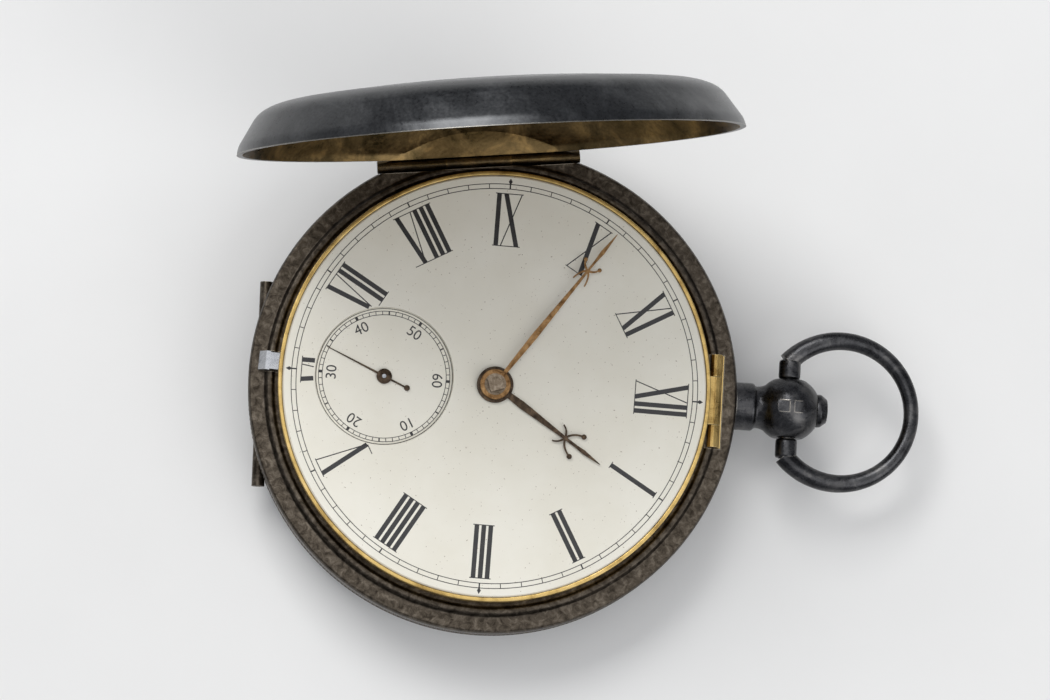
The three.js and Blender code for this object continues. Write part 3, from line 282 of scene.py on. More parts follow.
def rod(name, outline, place, segments=64):
    """An outline of (radius, distance) turned about a horizontal axis along +X, then placed."""
    piece = lathe(name, outline, segments)
    return move(piece, place @ Matrix.Rotation(math.pi / 2, 4, "Y"))


def along_y(angle, x, z):
    """Takes +X to local +Y at a place on a line out of the centre at that angle."""
    return about(angle) @ Matrix.Translation((x, 0, z)) @ about(90)


def bar(name, radius, span, place, bore=0, edge=0.06):
    low, high = span
    outline = [(bore, low), (radius, low), (radius, high), (bore, high)]
    return rod(name, rounded(outline, edge), place)


# ---- Materials -----------------------------------------------------------------------------

class Nodes:
    """A short way to write a material's nodes."""

    def __init__(self, name):
        self.material = bpy.data.materials.new(name)
        self.material.use_nodes = True
        self.tree = self.material.node_tree
        self.shader = self.tree.nodes["Principled BSDF"]
        self.place = self.tree.nodes.new("ShaderNodeTexCoord").outputs["Object"]

    def add(self, kind, inputs=None, **settings):
        node = self.tree.nodes.new(kind)
        for key, value in settings.items():
            setattr(node, key, value)
        for key, value in (inputs or {}).items():
            self.set(node.inputs[key], value)
        return node

    def set(self, socket, value):
        if isinstance(value, bpy.types.NodeSocket):
            self.tree.links.new(value, socket)
        else:
            socket.default_value = value

    def noise(self, size_mm, detail=6, roughness=0.6, stretch=(1, 1, 1), distortion=0.0):
        scaled = self.add("ShaderNodeMapping", {"Vector": self.place, "Scale": stretch})
        inputs = {
            "Vector": scaled.outputs["Vector"], "Scale": 1 / (size_mm * MM), "Detail": detail,
            "Roughness": roughness, "Distortion": distortion,
        }
        return self.add("ShaderNodeTexNoise", inputs).outputs["Fac"]

    def ramp(self, value, stops):
        node = self.add("ShaderNodeValToRGB", {"Fac": value})
        elements = node.color_ramp.elements
        while len(elements) < len(stops):
            elements.new(0.5)
        for element, (position, colour) in zip(elements, stops):
            element.position = position
            grey = (colour,) * 3 if isinstance(colour, (int, float)) else colour
            element.color = (*grey, 1)
        return node.outputs["Color"]

    def mix(self, share, a, b, blend="MIX"):
        node = self.add("ShaderNodeMix", data_type="RGBA", blend_type=blend)
        self.set(node.inputs[0], share)
        self.set(node.inputs[6], a)
        self.set(node.inputs[7], b)
        return node.outputs[2]

    def bump(self, height, strength, depth_mm):
        inputs = {"Height": height, "Strength": strength, "Distance": depth_mm * MM}
        return self.add("ShaderNodeBump", inputs).outputs["Normal"]

    def finish(self, **values):
        for key, value in values.items():
            self.set(self.shader.inputs[key.replace("_", " ")], value)
        return self.material


def aged_metal(name, dark, middle, light, rough=(0.3, 0.55), patch_mm=3.0, grain_mm=0.25,
               bump=0.35, edge_wear_and_sheen=None):
    """Metal with cloudy patches, fine grain, hair scratches and lighter edges: rubbed wear, and on the lid a
    painted highlight along its rim.
    """
    n = Nodes(name)
    patches = n.noise(patch_mm, detail=8, roughness=0.65, distortion=0.6)
    grain = n.noise(grain_mm, detail=4)
    scratches = n.noise(0.5, detail=2, stretch=(0.08, 1.6, 1.0))
    colour = n.ramp(patches, [(0.34, dark), (0.52, middle), (0.72, light)])
    speckle = n.ramp(grain, [(0.3, 0.55), (0.62, 1.0)])
    colour = n.mix(0.6, colour, n.mix(1.0, colour, speckle, "MULTIPLY"))
    # Edge mask: the lighter edge colour is partly rubbed wear and partly a painted highlight, the lid's light rim.
    if edge_wear_and_sheen:
        smooth = n.add("ShaderNodeBevel", {"Radius": 0.14 * MM}, samples=6).outputs["Normal"]
        flat = n.add("ShaderNodeNewGeometry").outputs["Normal"]
        pair = {0: smooth, 1: flat}
        match = n.add("ShaderNodeVectorMath", pair, operation="DOT_PRODUCT").outputs["Value"]
        rubbed_edge_and_sheen = n.ramp(match, [(0.9, 0.9), (0.985, 0.0)])
        colour = n.mix(n.mix(1.0, rubbed_edge_and_sheen, speckle, "MULTIPLY"), colour, (*edge_wear_and_sheen, 1))
    roughness = n.ramp(n.mix(0.5, patches, grain), [(0.35, rough[0]), (0.65, rough[1])])
    height = n.mix(0.35, grain, scratches)
    normal = n.bump(height, bump, 0.03)
    return n.finish(Base_Color=colour, Roughness=roughness, Metallic=1.0, Normal=normal)


def enamel_material():
    n = Nodes("enamel_white")
    cloud = n.noise(9, detail=4)
    colour = n.ramp(cloud, [(0.35, (0.8, 0.765, 0.655)), (0.65, (0.85, 0.82, 0.72))])
    dust = n.ramp(n.noise(0.22, detail=1), [(0.235, 1.0), (0.255, 0.0)])
    colour = n.mix(dust, colour, (0.4, 0.34, 0.26, 1))
    waves = n.bump(n.noise(5, detail=2), 0.12, 0.05)
    return n.finish(Base_Color=colour, Roughness=0.3, Normal=waves)


def ink_material():
    n = Nodes("fired_black")
    cloud = n.noise(1.2, detail=5)
    colour = n.ramp(cloud, [(0.3, (0.008, 0.008, 0.01)), (0.75, (0.03, 0.028, 0.028))])
    rough = n.ramp(cloud, [(0.3, 0.3), (0.7, 0.45)])
    return n.finish(Base_Color=colour, Roughness=rough)


def paper_material():
    n = Nodes("paper")
    cloud = n.noise(60, detail=5)
    fibre = n.noise(0.8, detail=8)
    colour = n.ramp(cloud, [(0.3, (0.79, 0.785, 0.77)), (0.7, (0.83, 0.825, 0.81))])
    return n.finish(Base_Color=colour, Roughness=0.9, Normal=n.bump(fibre, 0.15, 0.05))


CASE_FINISH = aged_metal(
    "tarnished_silver", (0.03, 0.024, 0.018), (0.085, 0.07, 0.054), (0.2, 0.17, 0.135),
    rough=(0.3, 0.55), patch_mm=0.7, grain_mm=0.14, bump=0.7, edge_wear_and_sheen=(0.5, 0.44, 0.35),
)
# The lid's lighter edge colour is a painted highlight along its rim.
LID_FINISH = aged_metal(
    "smooth_tarnish", (0.04, 0.041, 0.043), (0.075, 0.077, 0.08), (0.14, 0.142, 0.145),
    rough=(0.24, 0.4), patch_mm=7, grain_mm=0.3, bump=0.12, edge_wear_and_sheen=(0.34, 0.32, 0.28),
)
LINING_FINISH = aged_metal(
    "yellowed_lining", (0.07, 0.05, 0.02), (0.22, 0.15, 0.065), (0.55, 0.36, 0.14),
    rough=(0.25, 0.45), patch_mm=4, grain_mm=0.3, bump=0.3,
)
PENDANT_FINISH = aged_metal(
    "pendant_tarnish", (0.03, 0.03, 0.032), (0.07, 0.07, 0.073), (0.16, 0.155, 0.15),
    rough=(0.2, 0.42), patch_mm=2.2, grain_mm=0.2, bump=0.35, edge_wear_and_sheen=(0.4, 0.37, 0.33),
)
SLOT_FINISH = {
    "silver": CASE_FINISH,
    "steel": aged_metal("steel", (0.25, 0.26, 0.28), (0.42, 0.43, 0.45), (0.58, 0.59, 0.61),
                        rough=(0.18, 0.35), grain_mm=0.12, bump=0.15),
    "brass": aged_metal("brass", (0.2, 0.12, 0.035), (0.5, 0.34, 0.12), (0.68, 0.5, 0.22),
                        rough=(0.22, 0.42), grain_mm=0.12, bump=0.2, edge_wear_and_sheen=(0.8, 0.62, 0.3)),
    "gilt": aged_metal("gilt", (0.3, 0.19, 0.06), (0.6, 0.42, 0.15), (0.75, 0.55, 0.25),
                       rough=(0.25, 0.4), grain_mm=0.08, bump=0.3, edge_wear_and_sheen=(0.85, 0.68, 0.36)),
    "enamel": enamel_material(),
    "blued_steel": aged_metal("blued_steel", (0.01, 0.02, 0.06), (0.03, 0.06, 0.16),
                              (0.08, 0.12, 0.25), rough=(0.15, 0.3), grain_mm=0.1, bump=0.1),
    "bronze": aged_metal("bronze", (0.1, 0.05, 0.02), (0.28, 0.16, 0.07), (0.48, 0.3, 0.14),
                         rough=(0.28, 0.5), patch_mm=0.8, grain_mm=0.08, bump=0.4),
    "dark_steel": aged_metal("dark_steel", (0.02, 0.014, 0.01), (0.07, 0.05, 0.035),
                             (0.16, 0.11, 0.07), rough=(0.3, 0.5), patch_mm=0.7, grain_mm=0.08,
                             bump=0.35),
}
INK = ink_material()


def coat(piece, material):
    piece.data.materials.clear()
    piece.data.materials.append(material)


def dress(piece, body, slot, material=None, replaces=()):
    coat(piece, material or SLOT_FINISH[slot])
    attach(piece, body)
    if replaces:
        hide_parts(*replaces)
    return piece


for part in frame["record"]["subparts"]:
    coat(frame["nodes"][part["node"]], SLOT_FINISH[part["material_slot"]])

SQUARE_FINISH = aged_metal(
    "browned_steel", (0.1, 0.075, 0.05), (0.24, 0.19, 0.14), (0.4, 0.34, 0.27),
    rough=(0.3, 0.45), patch_mm=0.6, grain_mm=0.08, bump=0.3,
)
for node in ("cannon_pinion", "centre_arbor"):
    coat(frame["nodes"][node], SQUARE_FINISH)


# ---- Hinges --------------------------------------------------------------------------------

class Hinge:
    def __init__(self, at, half, middle):
        self.angle = direction_of(at)
        self.distance = math.hypot(at.x, at.y)
        self.z = at.z
        self.half = half
        self.middle = middle
        self.place = along_y(self.angle, self.distance, self.z)

    def notch(self, heights):
        inner = self.distance - KNUCKLE_RADIUS - CLEAR
        half = self.half + 0.1
        return block((inner, inner + 6), (-half, half), heights, self.angle)

    def room(self):
        middle = bar("room", KNUCKLE_RADIUS + CLEAR, (-self.middle, self.middle), self.place)
        whole = bar("room", KNUCKLE_RADIUS, (-self.half, self.half), self.place)
        return middle, whole

    def case_knuckle(self, name, foot_z):
        span = (-self.middle + HINGE_GAP, self.middle - HINGE_GAP)
        knuckle = bar(name, KNUCKLE_RADIUS, span, self.place)
        heights = sorted((foot_z, self.z))
        foot = block((self.distance - 0.4, self.distance + 0.4), span, heights, self.angle)
        bore = bar("bore", PIN_BORE, (-self.half - 1, self.half + 1), self.place)
        return cut(join(knuckle, foot), bore)

    def cover_knuckle(self, name, side):
        span = sorted((side * self.middle, side * self.half))
        return bar(name, KNUCKLE_RADIUS, span, self.place, bore=PIN_BORE)

    def pin(self, name):
        half = self.half - HINGE_GAP
        return bar(name, PIN_RADIUS, (-half, half), self.place)


FRONT = Hinge(FRONT_AT, FRONT_HALF, MIDDLE_HALF)
BACK = Hinge(BACK_AT, BACK_HALF, MIDDLE_HALF)
OPEN_LID = (
    Matrix.Translation(FRONT_AT) @ Matrix.Rotation(LID_OPEN, 4, LID_AXIS)
    @ Matrix.Translation(-FRONT_AT)
)
FRONT_FLOOR = FRONT.z - KNUCKLE_RADIUS - CLEAR
BACK_FLOOR = BACK.z + KNUCKLE_RADIUS + CLEAR


def build_hinges():
    sides = (("front", FRONT, FRONT_FLOOR), ("back", BACK, BACK_FLOOR))
    for word, hinge, floor in sides:
        knuckle = hinge.case_knuckle(f"{word}_knuckle", floor)
        dress(knuckle, "case", "silver", replaces=[f"{word}_hinge_knuckle"])
    for word, hinge, _ in sides:
        dress(hinge.pin(f"{word}_pin"), "case", "steel", replaces=[f"{word}_hinge_pin"])
    for letter, side in (("a", 1), ("b", -1)):
        front = move(FRONT.cover_knuckle(f"lid_knuckle_{letter}", side), OPEN_LID)
        dress(front, "front_cover", "silver", replaces=[f"front_cover_knuckle_{letter}"])
        back = BACK.cover_knuckle(f"back_lid_knuckle_{letter}", side)
        dress(back, "back_cover", "silver", replaces=[f"back_cover_knuckle_{letter}"])


# ---- Case middle and inner dome ------------------------------------------------------------

def reeding(radius, height, angle):
    """How deep the coin edge cuts into the band."""
    inside = BAND_BOTTOM + REED_MARGIN < height < RING_TOP - REED_MARGIN
    if radius < CASE_RADIUS - 0.02 or not inside:
        return 0
    return REED_DEPTH * (0.5 - 0.5 * math.cos(angle * REEDS))


def build_case():
    band_levels = [BAND_BOTTOM + 0.7, BAND_BOTTOM + 0.8, RING_TOP - 0.8, RING_TOP - 0.7]
    outline = rounded([
        (22.9, BAND_BOTTOM + 0.3), (22.9, BAND_BOTTOM), (24.7, BAND_BOTTOM),
        (CASE_RADIUS, BAND_BOTTOM + 0.4),
    ], 0.12, 3, closed=False)
    outline += [(CASE_RADIUS, level) for level in band_levels]
    outline += rounded([
        (CASE_RADIUS, RING_TOP - 0.4), (24.85, RING_TOP), (23.4, RING_TOP - 0.1),
        (23.1, RIDGE_TOP), (22.6, RIDGE_TOP), (22.4, LEDGE_TOP), (21.7, LEDGE_TOP),
        (21.7, LEDGE_TOP - 0.5), (22.3, LEDGE_TOP - 0.8), (22.3, BAND_BOTTOM + 0.3),
    ], 0.14, 4, closed=False)
    band = lathe("case_band", outline, REEDS * 4, reeding)
    joint_half = box("movement_joint_pin")[1].y + CLEAR
    joint_span = (-joint_half, joint_half)
    bolt_span = (-BOLT_SLOT_HALF, BOLT_SLOT_HALF)
    cut(
        band, FRONT.notch((FRONT_FLOOR, 14)), BACK.notch((3, BACK_FLOOR)),
        block((22.28, 23.55), joint_span, (9.3, 12)),
        block((21.9, 23.55), joint_span, (LEDGE_TOP, 12)),
        block((22.05, 23.5), bolt_span, (RING_TOP - 0.02, 12), BOLT_ANGLE),
        bar("stem_hole", STEM_BORE, (20, 27), Matrix.Translation((0, 0, STEM_Z))),
    )
    dress(band, "case", "silver", replaces=["case_middle"])


def build_dome():
    low, _ = box("inner_dome")
    floor, thick = low.z, 0.4
    outline = rounded([
        (0, floor), (19.5, floor), (21.6, floor + 0.6), (22.88, 4.5), (22.88, 4.9), (22.45, 4.9),
        (22.45, 4.5), (21.3, floor + 0.95), (19.4, floor + thick), (0, floor + thick),
    ], 0.8, 5)
    fusee = joint_at("fusee_spin")
    reach = WINDING_HOLE_RADIUS
    hole = lathe("hole", [(0, 0), (reach, 0), (reach, 4), (0, 4)], 64, at=(fusee.x, fusee.y))
    dress(cut(lathe("dome", outline), hole), "case", "silver", LINING_FINISH, ["inner_dome"])


# ---- Covers --------------------------------------------------------------------------------

def inset(profile, wall):
    """A profile moved in by the thickness of the wall."""
    result = []
    for i, (radius, height) in enumerate(profile):
        if radius < 1e-6:
            result.append((0, height - wall))
            continue
        before = Vector(profile[max(i - 1, 0)])
        after = Vector(profile[min(i + 1, len(profile) - 1)])
        run = (after - before).normalized()
        result.append((radius - wall * run.y, height + wall * run.x))
    return result


def cover(name, profile, rim, side, hinge):
    """A dished shell, cut flat at its hinge, with room for the knuckles."""
    outer_line = rounded(profile, COVER_CURVE, 10, closed=False)
    inner_line = inset(outer_line, COVER_WALL)
    outer = lathe(name, [(r, rim + side * h) for r, h in outer_line] + [(0, rim)], COVER_SEGMENTS)
    start = [(inner_line[0][0], rim - side)]
    hollow_line = start + [(r, rim + side * h) for r, h in inner_line] + [(0, rim - side)]
    hollow = lathe("hollow", hollow_line, COVER_SEGMENTS)
    reach = hinge.distance
    for piece, start_at in ((outer, reach), (hollow, reach - COVER_WALL)):
        cut(piece, block((start_at, reach + 9), (-40, 40), (-9, 30), hinge.angle))
    return cut(outer, hollow, *hinge.room())


def line_inside(piece, centre, material):
    """The faces that look into the cover get the lining's finish."""
    piece.data.materials.append(material)
    for face in piece.data.polygons:
        face.material_index = int(face.normal.dot(centre - face.center) > 0)


def build_covers():
    lid = cover("lid", LID_PROFILE, LID_RIM, 1, FRONT)
    dress(lid, "front_cover", "silver", LID_FINISH, ["front_cover"])
    line_inside(lid, Vector((0, 0, LID_RIM * MM)), LINING_FINISH)
    move(lid, OPEN_LID)
    back = cover("back", BACK_PROFILE, BACK_RIM, -1, BACK)
    dress(back, "back_cover", "silver", LID_FINISH, ["back_cover"])
    line_inside(back, Vector((0, 0, BACK_RIM * MM)), LINING_FINISH)


# ---- Pendant, push-piece and bow -----------------------------------------------------------

def build_pendant():
    steps = 24
    end = BALL_X + math.sqrt(BALL_RADIUS ** 2 - (MOUTH_RADIUS + 0.08) ** 2)
    xs = [BALL_START + (end - BALL_START) * i / steps for i in range(steps + 1)]
    ball = [(math.sqrt(BALL_RADIUS ** 2 - (x - BALL_X) ** 2), x) for x in xs]
    seat = BALL_END - CAP_SEAT_DEPTH
    neck = rounded([*NECK, ball[0]], 0.25, 4, closed=False)
    mouth = [(MOUTH_RADIUS, end), (MOUTH_RADIUS, seat), (STEM_BORE, seat)]
    lift = Matrix.Translation((0, 0, STEM_Z))
    pendant = rod("pendant_ball", neck + ball[1:] + mouth, lift, 128)
    drum = lathe("drum", [(0, 2), (CASE_RADIUS, 2), (CASE_RADIUS, 12), (0, 12)], 256)
    flats = [block((BALL_X - 5, BALL_X + 5), sorted((side * BALL_FLAT, side * 6)),
                   (STEM_Z - 5, STEM_Z + 5)) for side in (1, -1)]
    holes = [bar("hole", BOW_PIN_RADIUS + 0.06, sorted((side * 2.1, side * 6)), along_y(0, BALL_X, STEM_Z))
             for side in (1, -1)]
    top = STEM_Z + BALL_RADIUS
    punches = [block((BALL_X + x - PUNCH_HALF, BALL_X + x + PUNCH_HALF), (-PUNCH_HALF, PUNCH_HALF),
                     (top - PUNCH_DEPTH, top + 1)) for x in PUNCHES_AT]
    cut(pendant, drum, *flats, *holes, *punches)
    dress(pendant, "case", "silver", PENDANT_FINISH, ["pendant"])


def build_push_piece():
    low, high = box("push_piece")
    back = BALL_END - 0.15
    outline = rounded([
        (0, low.x), (0.8, low.x), (0.8, back), (CAP_RADIUS, back), (CAP_RADIUS, BALL_END + 0.35),
        (CAP_RADIUS - 0.5, high.x - 0.1), (0, high.x),
    ], 0.12, 4)
    piece = rod("push_cap", outline, Matrix.Translation((0, 0, STEM_Z)), 96)
    dress(piece, "push_piece", "silver", PENDANT_FINISH, ["push_piece"])


def build_bow():
    """A ring of round wire, thicker towards its ends, with an eye and a pin at each."""
    steps, sides = 160, 32
    points = []
    for i in range(steps + 1):
        share = i / steps
        angle = math.radians(BOW_END * (1 - 2 * share))
        wire = BOW_THIN + BOW_SWELL * abs(2 * share - 1) ** 1.5
        out = Vector((math.cos(angle), math.sin(angle), 0))
        centre = Vector((BOW_CENTRE, 0, STEM_Z)) + out * BOW_RADIUS
        for k in range(sides):
            turn = math.tau * k / sides
            points.append(centre + out * wire * math.cos(turn) + Vector((0, 0, wire * math.sin(turn))))
    faces = [list(range(sides)), list(range(steps * sides, (steps + 1) * sides))]
    for i in range(steps):
        for k in range(sides):
            n = (k + 1) % sides
            faces.append([i * sides + k, i * sides + n, (i + 1) * sides + n, (i + 1) * sides + k])
    ring = make("bow_ring", points, faces)
    ends = [
        bar(name, radius, sorted((side * near, side * far)), along_y(0, BALL_X, STEM_Z), edge=edge)
        for name, radius, near, far, edge in (
            ("pin", BOW_PIN_RADIUS, 2.2, 5.0, 0.3), ("eye", BOW_EYE_RADIUS, 3.08, 5.1, 0.35),
        )
        for side in (1, -1)
    ]
    dress(join(ring, *ends), "bow", "silver", PENDANT_FINISH, ["bow"])


# ---- Dial ----------------------------------------------------------------------------------

def dial_height(x, y):
    return DIAL_TOP - DIAL_DOME * (x * x + y * y) / DIAL_RADIUS ** 2


def seconds_height(x, y):
    return SECONDS_TOP


class Print:
    """Thin raised marks that follow a dial's surface."""

    def __init__(self, height):
        self.height = height
        self.points = []
        self.faces = []

    def add(self, outline):
        count, first = len(outline), len(self.points)
        for lift in (PRINT_LIFT - PRINT_THICK, PRINT_LIFT):
            self.points += [(x, y, self.height(x, y) + lift) for x, y in outline]
        top = range(first + count, first + 2 * count)
        self.faces += [list(top), list(range(first + count - 1, first - 1, -1))]
        for i in range(count):
            j = (i + 1) % count
            self.faces.append([first + i, first + j, first + count + j, first + count + i])

    def stroke(self, start, end, width):
        start, end = Vector(start), Vector(end)
        side = (end - start).normalized().orthogonal() * width / 2
        self.add([tuple(p) for p in (start - side, end - side, end + side, start + side)])

    def ring(self, centre, inner, outer, steps=240):
        for i in range(steps):
            a, b = (math.tau * k / steps for k in (i, i + 1))
            corners = [(inner, a), (outer, a), (outer, b), (inner, b)]
            self.add([(centre.x + r * math.cos(t), centre.y + r * math.sin(t)) for r, t in corners])

    def piece(self, name):
        return dress(make(name, self.points, self.faces, 20), "movement", "enamel", INK)


BAR_WIDTH, HAIR_WIDTH, BAR_GAP = 0.47, 0.09, 0.24
NUMERAL_RADII = (14.3, 19.7)
THIN_STROKE = 0.11
SERIF_OVERHANG = 0.14
GLYPH_WIDTH = {"I": BAR_WIDTH, "V": 1.75, "X": 1.85}
HOURS = ["XII", "I", "II", "III", "IIII", "V", "VI", "VII", "VIII", "IX", "X", "XI"]


def glyph_strokes(letter, x, tall):
    """Strokes of one letter as (start, end, width), with x at its left edge."""
    width = GLYPH_WIDTH[letter]
    if letter == "I":
        middle = x + width / 2
        return [((middle, 0), (middle, tall), BAR_WIDTH)]
    right = x + width
    if letter == "V":
        point = x + width * 0.55
        return [
            ((point, 0), (x + BAR_WIDTH / 2, tall), BAR_WIDTH),
            ((point, 0), (right, tall), THIN_STROKE),
        ]
    return [
        ((right - BAR_WIDTH / 2, 0), (x + BAR_WIDTH / 2, tall), BAR_WIDTH),
        ((x, 0), (right, tall), THIN_STROKE),
    ]


def numeral(text):
    low, high = NUMERAL_RADII
    tall = high - low
    total = sum(GLYPH_WIDTH[c] for c in text) + BAR_GAP * (len(text) - 1)
    x = -total / 2
    strokes = []
    for letter in text:
        strokes += glyph_strokes(letter, x, tall)
        x += GLYPH_WIDTH[letter] + BAR_GAP
    serif = total / 2 + SERIF_OVERHANG
    strokes += [((-serif, y), (serif, y), HAIR_WIDTH) for y in (0, tall)]
    return strokes


def spoke(angle_degrees):
    """A unit vector out of the centre of a dial."""
    angle = math.radians(angle_degrees)
    return Vector((math.cos(angle), math.sin(angle)))


def outside_seconds(start, end):
    """The stretch of a stroke that lies outside the seconds dial, or None."""
    centre = SECONDS_AT.xy
    limit = SECONDS_RADIUS + 0.15
    inside = [(p - centre).length < limit for p in (start, end)]
    if all(inside):
        return None
    if not any(inside):
        return start, end
    near, far = (start, end) if inside[0] else (end, start)
    low, high = 0.0, 1.0
    for _ in range(24):
        middle = (low + high) / 2
        if (near.lerp(far, middle) - centre).length < limit:
            low = middle
        else:
            high = middle
    return near.lerp(far, high), far


def build_dial():
    steps = 40
    top = [(DIAL_RADIUS * i / steps, DIAL_TOP - DIAL_DOME * (i / steps) ** 2) for i in range(steps + 1)]
    rim = [(DIAL_RADIUS, DIAL_LOW.z), (0, DIAL_LOW.z)]
    chamfer = [(DIAL_RADIUS - DIAL_CHAMFER, top[-1][1]), (DIAL_RADIUS, top[-1][1] - DIAL_CHAMFER)]
    face = lathe("dial_face", top[:-1] + chamfer + rim, 256)
    centre = (SECONDS_AT.x, SECONDS_AT.y)
    well = lathe("well", [(0, 12), (SECONDS_RADIUS, 12), (SECONDS_RADIUS, 14), (0, 14)], 192, at=centre)
    bore = lathe("bore", [(0, 12), (DIAL_BORE, 12), (DIAL_BORE, 14), (0, 14)], 96)
    dress(cut(face, well, bore), "movement", "enamel", replaces=["dial"])
    edge = SECONDS_RADIUS - 0.03
    low = box("seconds_dial")[0].z
    outline = rounded([
        (0.4, low), (SECONDS_RADIUS + 0.5, low), (SECONDS_RADIUS + 0.5, DIAL_LOW.z),
        (edge, DIAL_LOW.z), (edge, SECONDS_TOP), (0.4, SECONDS_TOP),
    ], 0.04, 3)
    dress(lathe("seconds_face", outline, 192, at=centre), "movement", "enamel",
          replaces=["seconds_dial"])


def build_hour_print():
    marks = Print(dial_height)
    for hour, text in enumerate(HOURS):
        up = spoke(TWIST - 30 * hour)
        right = Vector((up.y, -up.x))
        base = up * NUMERAL_RADII[0]
        for start, end, width in numeral(text):
            ends = [base + right * p[0] + up * p[1] for p in (start, end)]
            kept = outside_seconds(*ends)
            if kept:
                marks.stroke(*kept, width)
    marks.piece("hour_numerals")
    track = Print(dial_height)
    centre = Vector((0, 0))
    first, last = MINUTE_TRACK
    for inner in MINUTE_TRACK:
        track.ring(centre, inner, inner + MINUTE_LINE)
    for minute in range(60):
        up = spoke(TWIST - 6 * minute)
        track.stroke(up * first, up * (last + 0.05), 0.14 if minute % 5 == 0 else MINUTE_LINE)
    low, middle, high = DIAMOND
    for quarter in range(4):
        up = spoke(TWIST - 90 * quarter)
        side = Vector((-up.y, up.x)) * DIAMOND_HALF
        corners = (up * low, up * middle - side, up * high, up * middle + side)
        track.add([tuple(corner) for corner in corners])
    track.piece("minute_track")


def build_seconds_print():
    marks = Print(seconds_height)
    centre = SECONDS_AT.xy
    first, last = SECONDS_TRACK
    for inner in SECONDS_TRACK:
        marks.ring(centre, inner, inner + SECONDS_LINE, 160)
    marks.ring(centre, *SECONDS_BORDER, 160)
    for second in range(60):
        up = spoke(TWIST - 6 * second)
        width = 0.28 if second % 10 == 0 else 0.14 if second % 5 == 0 else SECONDS_LINE
        marks.stroke(centre + up * first, centre + up * (last + 0.04), width)
    marks.piece("seconds_track")
    for tens in range(1, 7):
        text = bpy.data.curves.new(f"seconds_{tens}0", "FONT")
        text.body = f"{tens}0"
        text.align_x = "CENTER"
        text.align_y = "CENTER"
        text.size = SECONDS_TEXT_SIZE * MM
        text.extrude = PRINT_THICK / 2 * MM
        maker = bpy.data.objects.new("maker", text)
        bpy.context.scene.collection.objects.link(maker)
        bpy.context.view_layer.update()
        mesh = bpy.data.meshes.new_from_object(maker)
        bpy.data.objects.remove(maker)
        piece = bpy.data.objects.new(f"seconds_numeral_{tens}0", mesh)
        bpy.context.scene.collection.objects.link(piece)
        spot = Matrix.Translation((centre.x, centre.y, SECONDS_TOP + PRINT_LIFT))
        outwards = Matrix.Translation((SECONDS_TEXT_RADIUS, 0, 0))
        move(piece, spot @ about(TWIST - 60 * tens) @ outwards @ about(-90))
        dress(piece, "movement", "enamel", INK)


# ---- Hands ---------------------------------------------------------------------------------

def plate(name, outline, heights, bevel=0.03):
    """A flat outline with thickness and softened edges."""
    low, high = heights
    count = len(outline)
    points = [(x, y, z) for z in (low, high) for x, y in outline]
    faces = [list(range(count - 1, -1, -1)), list(range(count, 2 * count))]
    faces += [[i, (i + 1) % count, count + (i + 1) % count, count + i] for i in range(count)]
    piece = make(name, points, faces)
    work = bmesh.new()
    work.from_mesh(piece.data)
    sharp = [e for e in work.edges if e.calc_face_angle(0) > math.radians(50)]
    bmesh.ops.bevel(work, geom=sharp, offset=bevel * MM, segments=2, affect="EDGES")
    work.to_mesh(piece.data)
    work.free()
    return piece


def blade(name, widths, heights):
    """A hand's blade along +X, from its half widths."""
    return plate(name, widths + [(x, -half) for x, half in reversed(widths)], heights)


def curl(centre_line, width, heights):
    """A tapering strip along a smooth curve that the middle one of three points pulls."""
    a, b, c = (Vector(p) for p in centre_line)
    steps = 16
    line = []
    for i in range(steps + 1):
        t = i / steps
        line.append(a * (1 - t) ** 2 + b * 2 * t * (1 - t) + c * t * t)
    left, right = [], []
    for i, here in enumerate(line):
        run = (line[min(i + 1, steps)] - line[max(i - 1, 0)]).normalized()
        side = Vector((-run.y, run.x)) * width / 2 * (1 - 0.35 * i / steps)
        left.append(tuple(here + side))
        right.append(tuple(here - side))
    return plate("curl", left + right[::-1], heights, 0.015)


def crossed_hand(name, node, widths, cross, hub, bore):
    """A hand with a cross of curls and balls, in the direction of its CAD node."""
    low, high = box(node)
    heights = (low.z, high.z)
    hand = blade(name, widths, heights)
    x, reach, out, rear, ball = cross
    for side in (1, -1):
        tip = (x + reach, side * out)
        join(hand, curl([(x, 0), (x + reach * 0.2, side * out * 0.75), tip], 0.24, heights))
        join(hand, curl([(x, 0), (x - rear * 0.3, side * out * 0.65),
                         (x - rear, side * out * 0.8)], 0.22, heights))
        join(hand, lathe("ball", rounded([(0, low.z), (ball, low.z), (ball, high.z), (0, high.z)],
                                         0.05), 32, at=tip))
    disc = rounded([(0, low.z), (hub, low.z), (hub, high.z + 0.02), (0, high.z + 0.02)], 0.06)
    join(hand, lathe("hub", disc, 96))
    cut(hand, lathe("bore", [(0, 10), (bore, 10), (bore, 16), (0, 16)], 64))
    return move(hand, about(direction_of(far_end(node, Vector((0, 0, 0))))))


def far_end(node, centre):
    """The way from a hand's centre to the end of it that is furthest away."""
    ends = (v.co / MM - centre for v in frame["nodes"][node].data.vertices)
    return max(ends, key=lambda p: p.xy.length)


